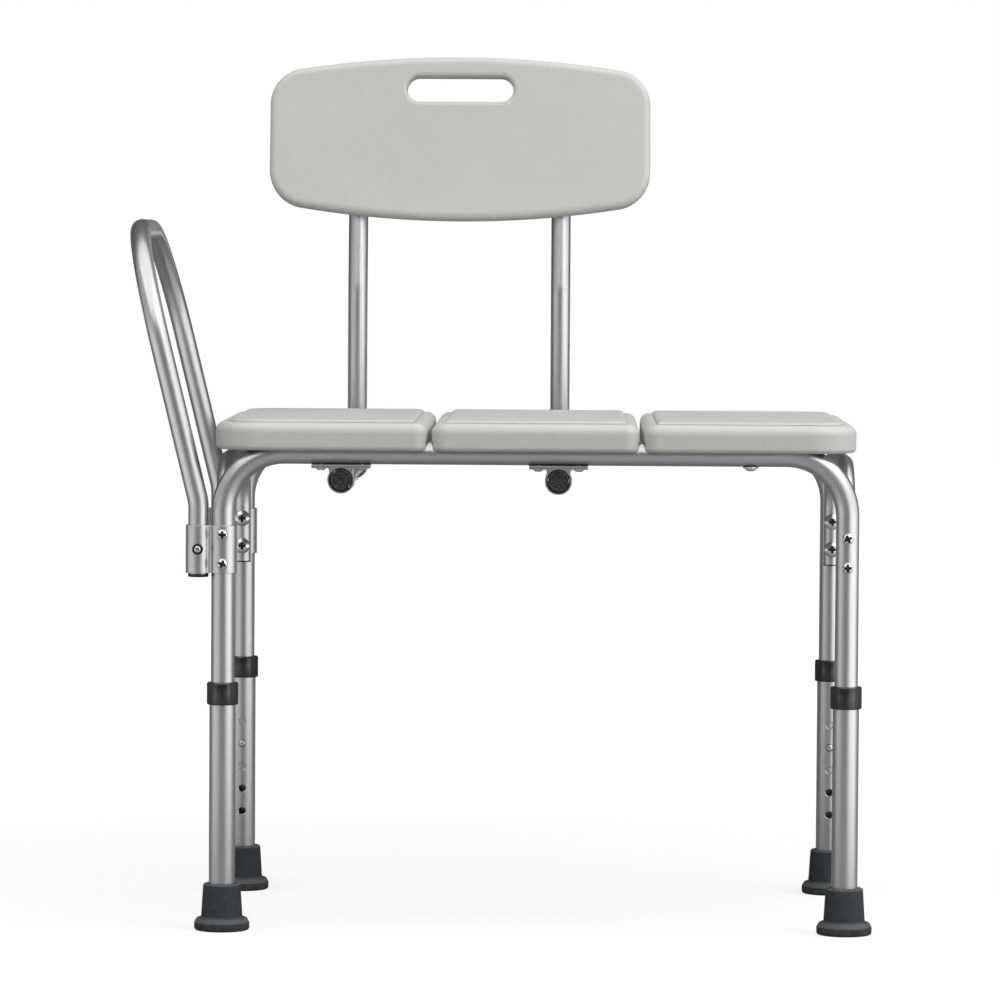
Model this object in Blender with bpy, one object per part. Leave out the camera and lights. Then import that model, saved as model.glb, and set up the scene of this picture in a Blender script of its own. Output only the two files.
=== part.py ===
"""Tub transfer bench: a moulded three-panel seat on two bent aluminium frames, with telescoping legs,
a lift-out arm rail at one end and a pull-out backrest.

Metres, +Z up, +Y to the back of the bench. Everything is laid out round the middle of the leg pattern,
and the root empty then puts the middle of the whole outline over the world origin."""

import math

import bmesh
import bpy
from mathutils import Matrix, Quaternion, Vector

# Clearances
SEAT_GAP = 0.0003          # between two parts that rest against each other
SLIP_GAP = 0.0004          # radial, round a tube that slides
PIN_GAP = 0.0004           # radial, round a bolt or a snap button in its hole
CUT_PAST = 0.010           # how far a cut runs on past the face that it opens

# Frame: two inverted-U tubes, front and back
LEG_SPAN_X = 0.664         # centre to centre of the legs, end to end
LEG_SPAN_Y = 0.370         # centre to centre of the legs, front to back
FRAME_TUBE_D = 0.025
FRAME_TUBE_WALL = 0.0012
FRAME_BEND_R = 0.065

# Seat panels
SEAT_HEIGHT = 0.546        # floor to the raised top
PANEL_THICKNESS = 0.033
RAIL_NEST = 0.0105         # how deep the frame tubes sit in the panels' channels
SEAT_END_OVERHANG = 0.010  # beyond the legs' centres
SKIRT_WALL = 0.0100        # panel in front of the tube
MIDDLE_PANEL_W = 0.221
PANEL_JOINT = 0.0045       # open joint between two panels
PANEL_END_CORNER_R = 0.050
PANEL_CORNER_R = 0.016
PANEL_EDGE_R = 0.010       # upper edge, all round
PANEL_HEM_R = 0.007        # lower edge, all round
CROWN_RISE = 0.0034        # raised sitting surface above the panel's shoulder
CROWN_INSET = 0.020
CROWN_SLOPE = 0.006        # width of the slope up to the raised surface
POCKET_DEPTH = 0.007       # moulded pocket under each panel
POCKET_MARGIN = 0.020
POCKET_CORNER_R = 0.015
POCKET_DRAFT = 0.003       # how much narrower its roof is, each side
CHANNEL_END_GAP = 0.002    # channel past the place where the frame tube dips out of it

# Telescoping legs
LEG_WALL = 0.0011
LEG_LENGTH = 0.2494
HOLE_D = 0.008
HOLE_PITCH = 0.0254
HOLE_COUNT = 5
HOLE_IN_USE = 2            # counted from the top
TOP_HOLE_DROP = 0.070      # below the leg's upper end
FRAME_END_DROP = 0.038     # frame tube below its snap button
COLLAR_WALL = 0.0025
COLLAR_H = 0.024
COLLAR_LIP = 0.003
COLLAR_ROUND = 0.0018
FOOT_H = 0.050
FOOT_BASE = 0.012          # rubber under the leg's end
FOOT_WALL = 0.0057
FOOT_FLARE = 0.0025        # growth of the body's radius down to the flange
FOOT_FLANGE_R = 0.0295
FOOT_FLANGE_H = 0.0125
FOOT_ROUND = 0.0018
FOOT_RIM = 0.75            # upright part of the flange, of its height

# End braces
BRACE_TUBE_D = 0.019
BRACE_TUBE_WALL = 0.0012
BRACE_BEND_R = 0.064
BRACE_DROP = 0.012         # its top run below the frame tubes' centre
BRACE_TAIL = 0.017         # below the lower bolt
BOLT_DROP = 0.088          # upper bolt below the frame tubes' centre
BOLT_PITCH = 0.031
BOLT_D = 0.005
BOLT_HEAD_D = 0.012
BOLT_HEAD_H = 0.0034
NUT_HEAD_D = 0.018
NUT_HEAD_H = 0.0045
NUT_SKIRT = 0.0045         # how far the nut's rim wraps round the brace
BOLT_HEAD_SHAPE = ((1, 0), (0.94, 0.5), (0.6, 0.92), (0, 1))  # shares of its radius and height
NUT_HEAD_SHAPE = ((0.97, 0.1), (0.6, 0.6), (0.5, 1), (0, 1))  # shares of its radius and height

# Arm rail and its sleeves
ARM_TUBE_D = 0.022
ARM_TUBE_WALL = 0.0012
SLEEVE_WALL = 0.0022
SLEEVE_H = 0.051
SLEEVE_WEB = 0.008         # half the width of the web between the two rings
ARM_TAIL = 0.0010          # tube below the sleeve
ARM_KNEE_RISE = 0.024      # where the arm leans out, above the sleeve
ARM_KNEE_R = 0.050
ARM_LEAN = math.radians(13.7)
ARM_TOP_RISE = 0.212       # top of the arm above the seat
ARM_CORNER_R = 0.125

# Backrest
BACK_X = -0.091            # its middle, from the middle of the legs
BACK_SPAN = 0.231
BACK_TUBE_D = 0.022
BACK_TUBE_WALL = 0.0012
BACK_BEND_R = 0.045
BACK_TUBE_NOSE = 0.003     # tube in front of the front bracket
POST_KNEE_RISE = 0.135     # where the posts lean back, above the seat
POST_KNEE_R = 0.080
BACK_LEAN = math.radians(8.0)
BRACKET_L = 0.026
BRACKET_W = 0.063
BRACKET_FLANGE = 0.0037
BRACKET_WALL = 0.0031
BRACKET_ROOF = 0.0008      # metal between the flange and the bore
BRACKET_NECK = 0.018       # half the neck's width at the flange
BRACKET_RING_TOP = math.radians(18)  # where the neck runs into the ring, above its middle
BACK_PANEL_W = 0.433
BACK_PANEL_SIDE = 0.146    # height without the arches
BACK_ARCH_TOP = 0.020
BACK_ARCH_BOTTOM = 0.021
BACK_PANEL_T = 0.026
BACK_CORNER_R = 0.034
BACK_FRONT_EDGE_R = 0.008
BACK_REAR_EDGE_R = 0.006
BACK_PANEL_RISE = 0.3040   # middle of the panel above the seat
BACK_PANEL_NEST = 0.0090   # how deep the posts sit in the panel's channels
POST_TOP_MARGIN = 0.030    # panel above the posts
SLOT_W = 0.121
SLOT_H = 0.029
SLOT_RISE = 0.0560         # above the panel's middle
SLOT_FRONT_LIP = 0.005
SLOT_REAR_LIP = 0.004
LIP_FLARE = 0.75           # how far a lip widens, of its depth

# Caps, plugs and snap clips
CAP_T = 0.003
CAP_SPIGOT = 0.012
PLUG_RIM = 0.0035
PLUG_FACE = 0.78           # flat of a plug's or cap's face, of its radius
PLUG_BEVEL = 0.5           # height of the bevel round it, of its rim
CLIP_STRIP = 0.0007
CLIP_WIDTH = 0.007
CLIP_LENGTH = 0.034
CLIP_TAIL = 0.006
CLIP_LINE = ((1, 0.35), (0.28, 0.96), (0, 1), (-0.28, 0.96), (-1, 0.30))  # shares of its spread and length
BUTTON_PROUD = 0.0028      # button beyond the outer tube
BUTTON_DOME = ((1, 0.45), (0.72, 0.135), (0, 0))  # out and below its top, shares of its radius

# Facets
TUBE_SIDES = 12
BORE_SIDES = 16
FOOT_SIDES = 14
HOLE_SIDES = 10
HEAD_SIDES = 8
BOLT_HOLE_SIDES = 6
CORNER_STEPS = 4           # round a corner of a panel's or pocket's outline
ARCH_STEPS = 8             # along the backrest's arched top and bottom
RING_STEPS = 13            # round the outside of a sleeve's or bracket's ring
EDGE_STEPS = 3             # round a moulded edge
CROWN_STEPS = 2            # up the slope to the raised surface
BEND_STEP = math.radians(22.5)
LEAST_CORNER_R = 0.0012    # what an inset outline keeps of its corners
LEAST_FLAT = 0.0001        # what stays straight between two corners
MERGE = 1e-6

# Worked out from the above
FRAME_R = FRAME_TUBE_D / 2
BRACE_R = BRACE_TUBE_D / 2
ARM_R = ARM_TUBE_D / 2
BACK_R = BACK_TUBE_D / 2
LEG_BORE_R = FRAME_R + SLIP_GAP
LEG_R = LEG_BORE_R + LEG_WALL
LEG_X = LEG_SPAN_X / 2
LEG_Y = LEG_SPAN_Y / 2
PANEL_BOTTOM_Z = SEAT_HEIGHT - PANEL_THICKNESS
RAIL_Z = PANEL_BOTTOM_Z + RAIL_NEST - SEAT_GAP - FRAME_R
SEAT_HALF_X = LEG_X + SEAT_END_OVERHANG
SEAT_HALF_Y = LEG_Y + FRAME_R + SEAT_GAP + SKIRT_WALL
LEG_BOTTOM_Z = FOOT_BASE + SEAT_GAP
LEG_TOP_Z = LEG_BOTTOM_Z + LEG_LENGTH
TOP_HOLE_Z = LEG_TOP_Z - TOP_HOLE_DROP
BUTTON_Z = TOP_HOLE_Z - (HOLE_IN_USE - 1) * HOLE_PITCH
BUTTON_R = HOLE_D / 2 - PIN_GAP
UPPER_BOLT_Z = RAIL_Z - BOLT_DROP
LOWER_BOLT_Z = UPPER_BOLT_Z - BOLT_PITCH
BOLT_HOLE_R = BOLT_D / 2 + PIN_GAP
BRACE_Z = RAIL_Z - BRACE_DROP
SLEEVE_Z = (UPPER_BOLT_Z + LOWER_BOLT_Z) / 2
SLEEVE_LEG_R = FRAME_R + SEAT_GAP + SLEEVE_WALL
SLEEVE_ARM_R = ARM_R + SLIP_GAP + SLEEVE_WALL
ARM_OFFSET = SLEEVE_LEG_R + SLIP_GAP + ARM_R
ARM_X = -LEG_X - ARM_OFFSET
ARM_BOTTOM_Z = SLEEVE_Z - SLEEVE_H / 2 - ARM_TAIL
ARM_KNEE_Z = SLEEVE_Z + SLEEVE_H / 2 + ARM_KNEE_RISE
ARM_TOP_Z = SEAT_HEIGHT + ARM_TOP_RISE - ARM_R
ARM_TOP_X = ARM_X - (ARM_TOP_Z - ARM_KNEE_Z) * math.tan(ARM_LEAN)
BRACKET_TOP_Z = RAIL_Z - FRAME_R - SEAT_GAP
BACK_Z = BRACKET_TOP_Z - BRACKET_FLANGE - BRACKET_ROOF - SLIP_GAP - BACK_R
BRACKET_BORE_R = BACK_R + SLIP_GAP
BRACKET_R = BRACKET_BORE_R + BRACKET_WALL
BACK_FRONT_Y = -LEG_Y - BRACKET_L / 2 - BACK_TUBE_NOSE
POST_Y = LEG_Y + BRACKET_L / 2 + SEAT_GAP + BACK_BEND_R
POST_KNEE_Z = SEAT_HEIGHT + POST_KNEE_RISE
BACK_PANEL_Z = SEAT_HEIGHT + BACK_PANEL_RISE
BACK_PANEL_Y = POST_Y + (BACK_PANEL_Z - POST_KNEE_Z) * math.tan(BACK_LEAN)
BACK_PANEL_REAR = BACK_PANEL_NEST - BACK_R
POST_TOP = BACK_PANEL_SIDE / 2 - POST_TOP_MARGIN

# The whole outline: arm rail to the far feet, front feet to the backrest's upper rear edge
OUTLINE_LEFT = ARM_TOP_X - ARM_R
OUTLINE_RIGHT = LEG_X + FOOT_FLANGE_R
OUTLINE_FRONT = -LEG_Y - FOOT_FLANGE_R
OUTLINE_BACK = BACK_PANEL_Y + POST_TOP * math.sin(BACK_LEAN) + BACK_R * math.cos(BACK_LEAN)
CENTRE = Vector(((OUTLINE_LEFT + OUTLINE_RIGHT) / 2, (OUTLINE_FRONT + OUTLINE_BACK) / 2, 0))

SIDES = {"left": -1, "right": 1}
ENDS = {"front": -1, "rear": 1}


def clear_scene():
    for old in list(bpy.data.objects):
        bpy.data.objects.remove(old)


def material(name, colour, roughness, metallic):
    made = bpy.data.materials.new(name)
    made.use_nodes = True
    shader = made.node_tree.nodes["Principled BSDF"]
    shader.inputs["Base Color"].default_value = (*colour, 1)
    shader.inputs["Roughness"].default_value = roughness
    shader.inputs["Metallic"].default_value = metallic
    return made


def make_materials():
    return {
        "plastic": material("moulded_plastic", (0.60, 0.58, 0.54), 0.55, 0),
        "aluminium": material("satin_aluminium", (0.68, 0.68, 0.69), 0.32, 1),
        "black": material("black_plastic", (0.02, 0.02, 0.022), 0.45, 0),
        "rubber": material("grey_rubber", (0.055, 0.062, 0.068), 0.75, 0),
        "steel": material("bright_steel", (0.72, 0.72, 0.74), 0.22, 1),
    }


def empty(name, location, parent=None):
    """A parent for a moving group, unturned, at a place given from the middle of the leg pattern."""
    made = bpy.data.objects.new(name, None)
    made.empty_display_size = 0.02
    bpy.context.collection.objects.link(made)
    made["place"] = list(location)
    if parent:
        made.parent = parent
        made.location = Vector(location) - Vector(parent["place"])
    return made


def finish(bm, name, look, parent, location=(0, 0, 0), rotation=(0, 0, 0), sharp=math.radians(35)):
    """The mesh as an object under its parent, at a place given from the middle of the leg pattern."""
    bmesh.ops.recalc_face_normals(bm, faces=bm.faces)
    mesh = bpy.data.meshes.new(name)
    bm.to_mesh(mesh)
    bm.free()
    mesh.shade_smooth()
    mesh.set_sharp_from_angle(angle=sharp)
    mesh.materials.append(look)
    made = bpy.data.objects.new(name, mesh)
    bpy.context.collection.objects.link(made)
    made.parent = parent
    made.location = Vector(location) - Vector(parent["place"])
    made.rotation_euler = rotation
    return made


def boolean(target, bm, operation, suffix="cutter"):
    """Cuts or joins a helper mesh, given in the target's own axes."""
    bmesh.ops.recalc_face_normals(bm, faces=bm.faces)
    mesh = bpy.data.meshes.new(f"{target.name}_{suffix}")
    bm.to_mesh(mesh)
    bm.free()
    helper = bpy.data.objects.new(mesh.name, mesh)
    bpy.context.collection.objects.link(helper)
    helper.parent = target
    helper.hide_render = True
    helper.display_type = "WIRE"
    modifier = target.modifiers.new(suffix, "BOOLEAN")
    modifier.object = helper
    modifier.operation = operation
    modifier.solver = "EXACT"


def add_cylinder(bm, start, end, radius, sides):
    """A closed cylinder between two points, added to a mesh that may hold others."""
    start, end = Vector(start), Vector(end)
    turn = (end - start).to_track_quat("Z", "Y").to_matrix().to_4x4()
    bmesh.ops.create_cone(
        bm, cap_ends=True, segments=sides, radius1=radius, radius2=radius,
        depth=(end - start).length, matrix=Matrix.Translation((start + end) / 2) @ turn)


def flats_at(radius, sides):
    """The corner radius of a faceted bore whose flats, not its corners, lie at the given radius."""
    return radius / math.cos(math.pi / sides)


def add_bolt_hole(bm, start, end):
    add_cylinder(bm, start, end, flats_at(BOLT_HOLE_R, BOLT_HOLE_SIDES), BOLT_HOLE_SIDES)


def add_loft(bm, rings):
    """Rings of equal length joined in order, with the first and the last closed."""
    loops = [[bm.verts.new(point) for point in ring] for ring in rings]
    count = len(loops[0])
    for low, high in zip(loops, loops[1:]):
        for i in range(count):
            j = (i + 1) % count
            bm.faces.new((low[i], low[j], high[j], high[i]))
    bm.faces.new(loops[0])
    bm.faces.new(loops[-1])


def add_lathe(bm, profile, sides, closed=False):
    """A profile of (radius, height) points turned round Z. An open one starts and ends on the axis."""
    points = [bm.verts.new((radius, 0, height)) for radius, height in profile]
    pairs = list(zip(points, points[1:]))
    if closed:
        pairs.append((points[-1], points[0]))
    edges = [bm.edges.new(pair) for pair in pairs]
    bmesh.ops.spin(bm, geom=points + edges, cent=(0, 0, 0), axis=(0, 0, 1),
                   angle=math.tau, steps=sides, use_merge=True)
    bmesh.ops.remove_doubles(bm, verts=bm.verts, dist=MERGE)


def arc_points(centre, radius, start, end, steps):
    return [(centre[0] + radius * math.cos(start + (end - start) * i / steps),
             centre[1] + radius * math.sin(start + (end - start) * i / steps))
            for i in range(steps + 1)]


def rounded_outline(half_x, half_y, radii, inset=0.0, edge_steps=1):
    """A rectangle with its own radius at each corner, anticlockwise from the +X +Y corner."""
    outline = []
    half_x, half_y = half_x - inset, half_y - inset
    signs = ((1, 1), (-1, 1), (-1, -1), (1, -1))
    for corner, (sx, sy) in enumerate(signs):
        radius = max(radii[corner] - inset, LEAST_CORNER_R)
        centre = (sx * (half_x - radius), sy * (half_y - radius))
        start = corner * math.pi / 2
        arc = arc_points(centre, radius, start, start + math.pi / 2, CORNER_STEPS)
        if corner % 2 == 1:
            outline += between(outline[-1], arc[0], edge_steps)
        outline += arc
    return outline


def between(a, b, steps):
    """The points that divide a straight edge into equal steps, without its ends."""
    return [(a[0] + (b[0] - a[0]) * i / steps, a[1] + (b[1] - a[1]) * i / steps)
            for i in range(1, steps)]


def rounded_edge(radius):
    """(inset, drop) pairs that run round a moulding's edge, from its side to its face."""
    turns = [math.pi / 2 * i / EDGE_STEPS for i in range(EDGE_STEPS + 1)]
    return [(radius * (1 - math.cos(turn)), radius * (1 - math.sin(turn))) for turn in turns]


def flared_lip(face, lip, outward):
    """(inset, place) pairs of a cutter that widens through a face and on past it."""
    return [(-step * LIP_FLARE * lip, face + (step - 1) * outward * lip) for step in range(3)]


def bent_path(corners, radii):
    """(point, direction) stations along straight runs joined by bends of the given radii."""
    corners = [Vector(corner) for corner in corners]
    stations = [(corners[0], (corners[1] - corners[0]).normalized())]
    for before, corner, after, radius in zip(corners, corners[1:], corners[2:], radii):
        into, out = (corner - before).normalized(), (after - corner).normalized()
        angle = into.angle(out)
        axis = into.cross(out).normalized()
        entry = corner - into * radius * math.tan(angle / 2)
        centre = entry + axis.cross(into) * radius
        steps = max(2, round(angle / BEND_STEP))
        for i in range(steps + 1):
            turn = Quaternion(axis, angle * i / steps)
            stations.append((centre + turn @ (entry - centre), turn @ into))
    stations.append((corners[-1], (corners[-1] - corners[-2]).normalized()))
    return stations


def add_tube(bm, stations, radius, wall, side):
    """A hollow tube along the stations. side is a direction square to the first run."""
    side = Vector(side)
    before = stations[0][1]
    rings = []
    for point, direction in stations:
        side = before.rotation_difference(direction) @ side
        before = direction
        up = direction.cross(side)
        rings.append([
            [bm.verts.new(point + size * (math.cos(a) * side + math.sin(a) * up))
             for a in (math.tau * i / TUBE_SIDES for i in range(TUBE_SIDES))]
            for size in (radius, radius - wall)])
    for low, high in zip(rings, rings[1:]):
        for a, b in zip(low, high):
            for i in range(TUBE_SIDES):
                j = (i + 1) % TUBE_SIDES
                bm.faces.new((a[i], a[j], b[j], b[i]))
    for outer, inner in (rings[0], rings[-1]):
        for i in range(TUBE_SIDES):
            j = (i + 1) % TUBE_SIDES
            bm.faces.new((outer[i], outer[j], inner[j], inner[i]))


def thick_strip(points, thickness):
    """The outline of a bent strip whose middle line runs through the points."""
    points = [Vector(point) for point in points]
    one, other = [], []
    for i, point in enumerate(points):
        near = points[i] - points[i - 1] if i else points[1] - points[0]
        far = points[i + 1] - points[i] if i + 1 < len(points) else near
        normals = [Vector((-run.y, run.x)).normalized() for run in (near, far)]
        middle = (normals[0] + normals[1]).normalized()
        reach = thickness / 2 / middle.dot(normals[0])
        one.append(point + middle * reach)
        other.append(point - middle * reach)
    return one + other[::-1]


def frame_tube(name, end, looks, root):
    """One inverted-U frame tube, with its bolt holes and the holes for its two snap buttons."""
    y = ENDS[end] * LEG_Y
    low = BUTTON_Z - FRAME_END_DROP
    corners = [(-LEG_X, 0, low), (-LEG_X, 0, RAIL_Z), (LEG_X, 0, RAIL_Z), (LEG_X, 0, low)]
    bm = bmesh.new()
    add_tube(bm, bent_path(corners, (FRAME_BEND_R, FRAME_BEND_R)), FRAME_R, FRAME_TUBE_WALL, (0, 1, 0))
    tube = finish(bm, name, looks["aluminium"], root, (0, y, 0))
    cutter = bmesh.new()
    for side in SIDES.values():
        x = side * LEG_X
        for z in (UPPER_BOLT_Z, LOWER_BOLT_Z):
            add_bolt_hole(cutter, (x, -2 * FRAME_R, z), (x, 2 * FRAME_R, z))
        inward = (x, -ENDS[end] * 2 * FRAME_R, BUTTON_Z)
        add_cylinder(cutter, (x, 0, BUTTON_Z), inward, HOLE_D / 2, HOLE_SIDES)
    boolean(tube, cutter, "DIFFERENCE")


def stack_radius(side):
    """How far the frame's leg reaches where it is bolted: the arm end has a sleeve round it."""
    return SLEEVE_LEG_R if side == "left" else FRAME_R


def brace_y(side):
    return LEG_Y - stack_radius(side) - SEAT_GAP - BRACE_R


def end_brace(side, looks, root):
    """An inverted-U brace that joins the front and rear legs of one end."""
    x, y = SIDES[side] * LEG_X, brace_y(side)
    low = LOWER_BOLT_Z - BRACE_TAIL
    corners = [(0, -y, low), (0, -y, BRACE_Z), (0, y, BRACE_Z), (0, y, low)]
    bm = bmesh.new()
    add_tube(bm, bent_path(corners, (BRACE_BEND_R, BRACE_BEND_R)), BRACE_R, BRACE_TUBE_WALL, (1, 0, 0))
    brace = finish(bm, f"end_brace_{side}", looks["aluminium"], root, (x, 0, 0))
    cutter = bmesh.new()
    for middle in (-y, y):
        for z in (UPPER_BOLT_Z, LOWER_BOLT_Z):
            add_bolt_hole(cutter, (0, middle - 2 * BRACE_R, z), (0, middle + 2 * BRACE_R, z))
    boolean(brace, cutter, "DIFFERENCE")


def leg_fasteners(end, side, looks, root):
    """Two bolts through the leg and the brace, each with a saddle nut on the brace's inner face."""
    x, outward = SIDES[side] * LEG_X, ENDS[end]
    head_y = outward * (LEG_Y + stack_radius(side) + SEAT_GAP)
    nut_y = outward * (brace_y(side) - BRACE_R - SEAT_GAP)
    turn = (-outward * math.pi / 2, 0, 0)
    grip = abs(head_y - nut_y)
    for level, z in (("upper", UPPER_BOLT_Z), ("lower", LOWER_BOLT_Z)):
        bm = bmesh.new()
        head_r = BOLT_HEAD_D / 2
        shank = [(0, -grip - NUT_HEAD_H / 2), (BOLT_D / 2, -grip - NUT_HEAD_H / 2), (BOLT_D / 2, 0)]
        head = [(head_r * out, BOLT_HEAD_H * up) for out, up in BOLT_HEAD_SHAPE]
        add_lathe(bm, shank + head, HEAD_SIDES)
        finish(bm, f"leg_bolt_{end}_{side}_{level}", looks["steel"], root, (x, head_y, z), turn)

        bm = bmesh.new()
        rim, bore = NUT_HEAD_D / 2, flats_at(BOLT_HOLE_R, HOLE_SIDES)
        skirt = [(bore, NUT_SKIRT), (rim, NUT_SKIRT)]
        head = [(rim * out, -NUT_HEAD_H * up) for out, up in NUT_HEAD_SHAPE]
        thread = [(0, -NUT_HEAD_H / 2 - SEAT_GAP), (bore, -NUT_HEAD_H / 2 - SEAT_GAP)]
        add_lathe(bm, skirt + head + thread, HOLE_SIDES, closed=True)
        nut = finish(bm, f"leg_nut_{end}_{side}_{level}", looks["steel"], root, (x, nut_y, z), turn)
        seat = bmesh.new()
        across = 2 * NUT_HEAD_D
        add_cylinder(seat, (0, -across, BRACE_R + SEAT_GAP), (0, across, BRACE_R + SEAT_GAP),
                     flats_at(BRACE_R, TUBE_SIDES) + SEAT_GAP, TUBE_SIDES)
        boolean(nut, seat, "DIFFERENCE")


def seat_panel(name, low_x, high_x, radii, channel_from, channel_to, looks, root):
    """A moulded panel with a raised crown, channels for the two frame tubes and a pocket beneath."""
    middle, half_x = (low_x + high_x) / 2, (high_x - low_x) / 2
    shoulder = PANEL_THICKNESS - CROWN_RISE
    sections = rounded_edge(PANEL_HEM_R)[::-1]
    sections += [(inset, shoulder - drop) for inset, drop in rounded_edge(PANEL_EDGE_R)]
    for share in (i / CROWN_STEPS for i in range(CROWN_STEPS + 1)):
        sections.append((CROWN_INSET - CROWN_SLOPE * (1 - share),
                         shoulder + CROWN_RISE * share * share * (3 - 2 * share)))
    bm = bmesh.new()
    add_loft(bm, [[(x, y, height) for x, y in rounded_outline(half_x, SEAT_HALF_Y, radii, inset)]
                  for inset, height in sections])
    panel = finish(bm, name, looks["plastic"], root, (middle, 0, PANEL_BOTTOM_Z))
    cutter = bmesh.new()
    half_w = FRAME_R + SEAT_GAP
    for y in (-LEG_Y, LEG_Y):
        outline = ((channel_from - middle, y - half_w), (channel_to - middle, y - half_w),
                   (channel_to - middle, y + half_w), (channel_from - middle, y + half_w))
        add_loft(cutter, [[(*point, height) for point in outline] for height in (-CUT_PAST, RAIL_NEST)])
    pocket_y = LEG_Y - FRAME_R - POCKET_MARGIN
    add_loft(cutter, [[(x, y, height) for x, y in
                       rounded_outline(half_x - POCKET_MARGIN, pocket_y, (POCKET_CORNER_R,) * 4, inset)]
                      for inset, height in ((-POCKET_DRAFT, -POCKET_DEPTH), (POCKET_DRAFT, POCKET_DEPTH))])
    boolean(panel, cutter, "DIFFERENCE")


def seat(looks, root):
    """Three panels side by side. The end ones stop their channels where the frame tubes dip away."""
    joint_x = MIDDLE_PANEL_W / 2
    outer = joint_x + PANEL_JOINT
    centre_x, centre_z = LEG_X - FRAME_BEND_R, RAIL_Z - FRAME_BEND_R
    reach = FRAME_BEND_R + FRAME_R + SEAT_GAP
    dip_x = centre_x + math.sqrt(reach ** 2 - (PANEL_BOTTOM_Z - centre_z) ** 2) + CHANNEL_END_GAP
    small, large = PANEL_CORNER_R, PANEL_END_CORNER_R
    seat_panel("seat_panel_middle", -joint_x, joint_x, (small,) * 4,
               -joint_x - CUT_PAST, joint_x + CUT_PAST, looks, root)
    seat_panel("seat_panel_left", -SEAT_HALF_X, -outer, (small, large, large, small),
               -dip_x, -outer + CUT_PAST, looks, root)
    seat_panel("seat_panel_right", outer, SEAT_HALF_X, (large, small, small, large),
               outer - CUT_PAST, dip_x, looks, root)


def leg(end, side, looks, root):
    """A drilled lower leg with its collar and rubber foot, which slides on the frame tube."""
    x, y = SIDES[side] * LEG_X, ENDS[end] * LEG_Y
    group = empty(f"leg_slide_{end}_{side}", (x, y, LEG_TOP_Z), root)

    bm = bmesh.new()
    add_tube(bm, [(Vector((0, 0, 0)), Vector((0, 0, 1))), (Vector((0, 0, LEG_LENGTH)), Vector((0, 0, 1)))],
             LEG_R, LEG_WALL, (1, 0, 0))
    tube = finish(bm, f"leg_tube_{end}_{side}", looks["aluminium"], group, (x, y, LEG_BOTTOM_Z))
    cutter = bmesh.new()
    for i in range(HOLE_COUNT):
        height = TOP_HOLE_Z - i * HOLE_PITCH - LEG_BOTTOM_Z
        add_cylinder(cutter, (0, 0, height), (0, -ENDS[end] * 2 * LEG_R, height), HOLE_D / 2, HOLE_SIDES)
    boolean(tube, cutter, "DIFFERENCE")

    top = COLLAR_LIP + SEAT_GAP
    bore, fit = FRAME_R + SLIP_GAP, LEG_R + SEAT_GAP
    outer = fit + COLLAR_WALL
    bm = bmesh.new()
    add_lathe(bm, [(bore, top), (outer - COLLAR_ROUND, top), (outer, top - COLLAR_ROUND),
                   (outer, top - COLLAR_H + COLLAR_ROUND), (outer - COLLAR_ROUND, top - COLLAR_H),
                   (fit, top - COLLAR_H), (fit, SEAT_GAP), (bore, SEAT_GAP)], TUBE_SIDES, closed=True)
    finish(bm, f"leg_collar_{end}_{side}", looks["black"], group, (x, y, LEG_TOP_Z))

    bore = flats_at(LEG_R + SEAT_GAP, FOOT_SIDES)
    top_r = LEG_R + SEAT_GAP + FOOT_WALL
    hem_r = top_r + FOOT_FLARE
    bm = bmesh.new()
    flange = [(0, 0), (FOOT_FLANGE_R - FOOT_ROUND, 0), (FOOT_FLANGE_R, FOOT_ROUND),
              (FOOT_FLANGE_R - FOOT_ROUND / 2, FOOT_FLANGE_H * FOOT_RIM)]
    cup = [(hem_r + FOOT_ROUND, FOOT_FLANGE_H), (hem_r, FOOT_FLANGE_H + 2 * FOOT_ROUND),
           (top_r, FOOT_H - FOOT_ROUND), (top_r - FOOT_ROUND, FOOT_H), (bore, FOOT_H),
           (bore, FOOT_BASE), (0, FOOT_BASE)]
    add_lathe(bm, flange + cup, FOOT_SIDES)
    finish(bm, f"leg_foot_{end}_{side}", looks["rubber"], group, (x, y, 0))


def snap_clip(name, group, location, rotation, bore_r, reach, looks):
    """A bent spring strip inside a tube, with the button that it pushes through the tubes' holes.

    Its own +X runs out through the button and its own +Z along the tube."""
    face = math.sqrt(bore_r ** 2 - (CLIP_WIDTH / 2) ** 2) - 2 * SEAT_GAP - CLIP_STRIP / 2
    line = [(face, -CLIP_TAIL), *((face * out, CLIP_LENGTH * up) for out, up in CLIP_LINE),
            (-face, -CLIP_TAIL)]
    outline = thick_strip(line, CLIP_STRIP)
    bm = bmesh.new()
    add_loft(bm, [[(x, y, z) for x, z in outline] for y in (-CLIP_WIDTH / 2, CLIP_WIDTH / 2)])
    clip = finish(bm, name, looks["steel"], group, location, rotation)
    button = bmesh.new()
    inside = face - CLIP_STRIP / 4
    dome = [(BUTTON_R * out, reach - BUTTON_R * down) for out, down in BUTTON_DOME]
    add_lathe(button, [(0, inside), (BUTTON_R, inside)] + dome, HOLE_SIDES)
    bmesh.ops.rotate(button, verts=button.verts, cent=(0, 0, 0), matrix=Matrix.Rotation(math.pi / 2, 3, "Y"))
    boolean(clip, button, "UNION", "button")


def leg_clip(end, side, looks, root):
    x, y = SIDES[side] * LEG_X, ENDS[end] * LEG_Y
    group = empty(f"leg_button_{end}_{side}", (x, y, BUTTON_Z), root)
    snap_clip(f"leg_snap_clip_{end}_{side}", group, (x, y, BUTTON_Z), (0, 0, -ENDS[end] * math.pi / 2),
              FRAME_R - FRAME_TUBE_WALL, LEG_R + BUTTON_PROUD, looks)


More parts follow.
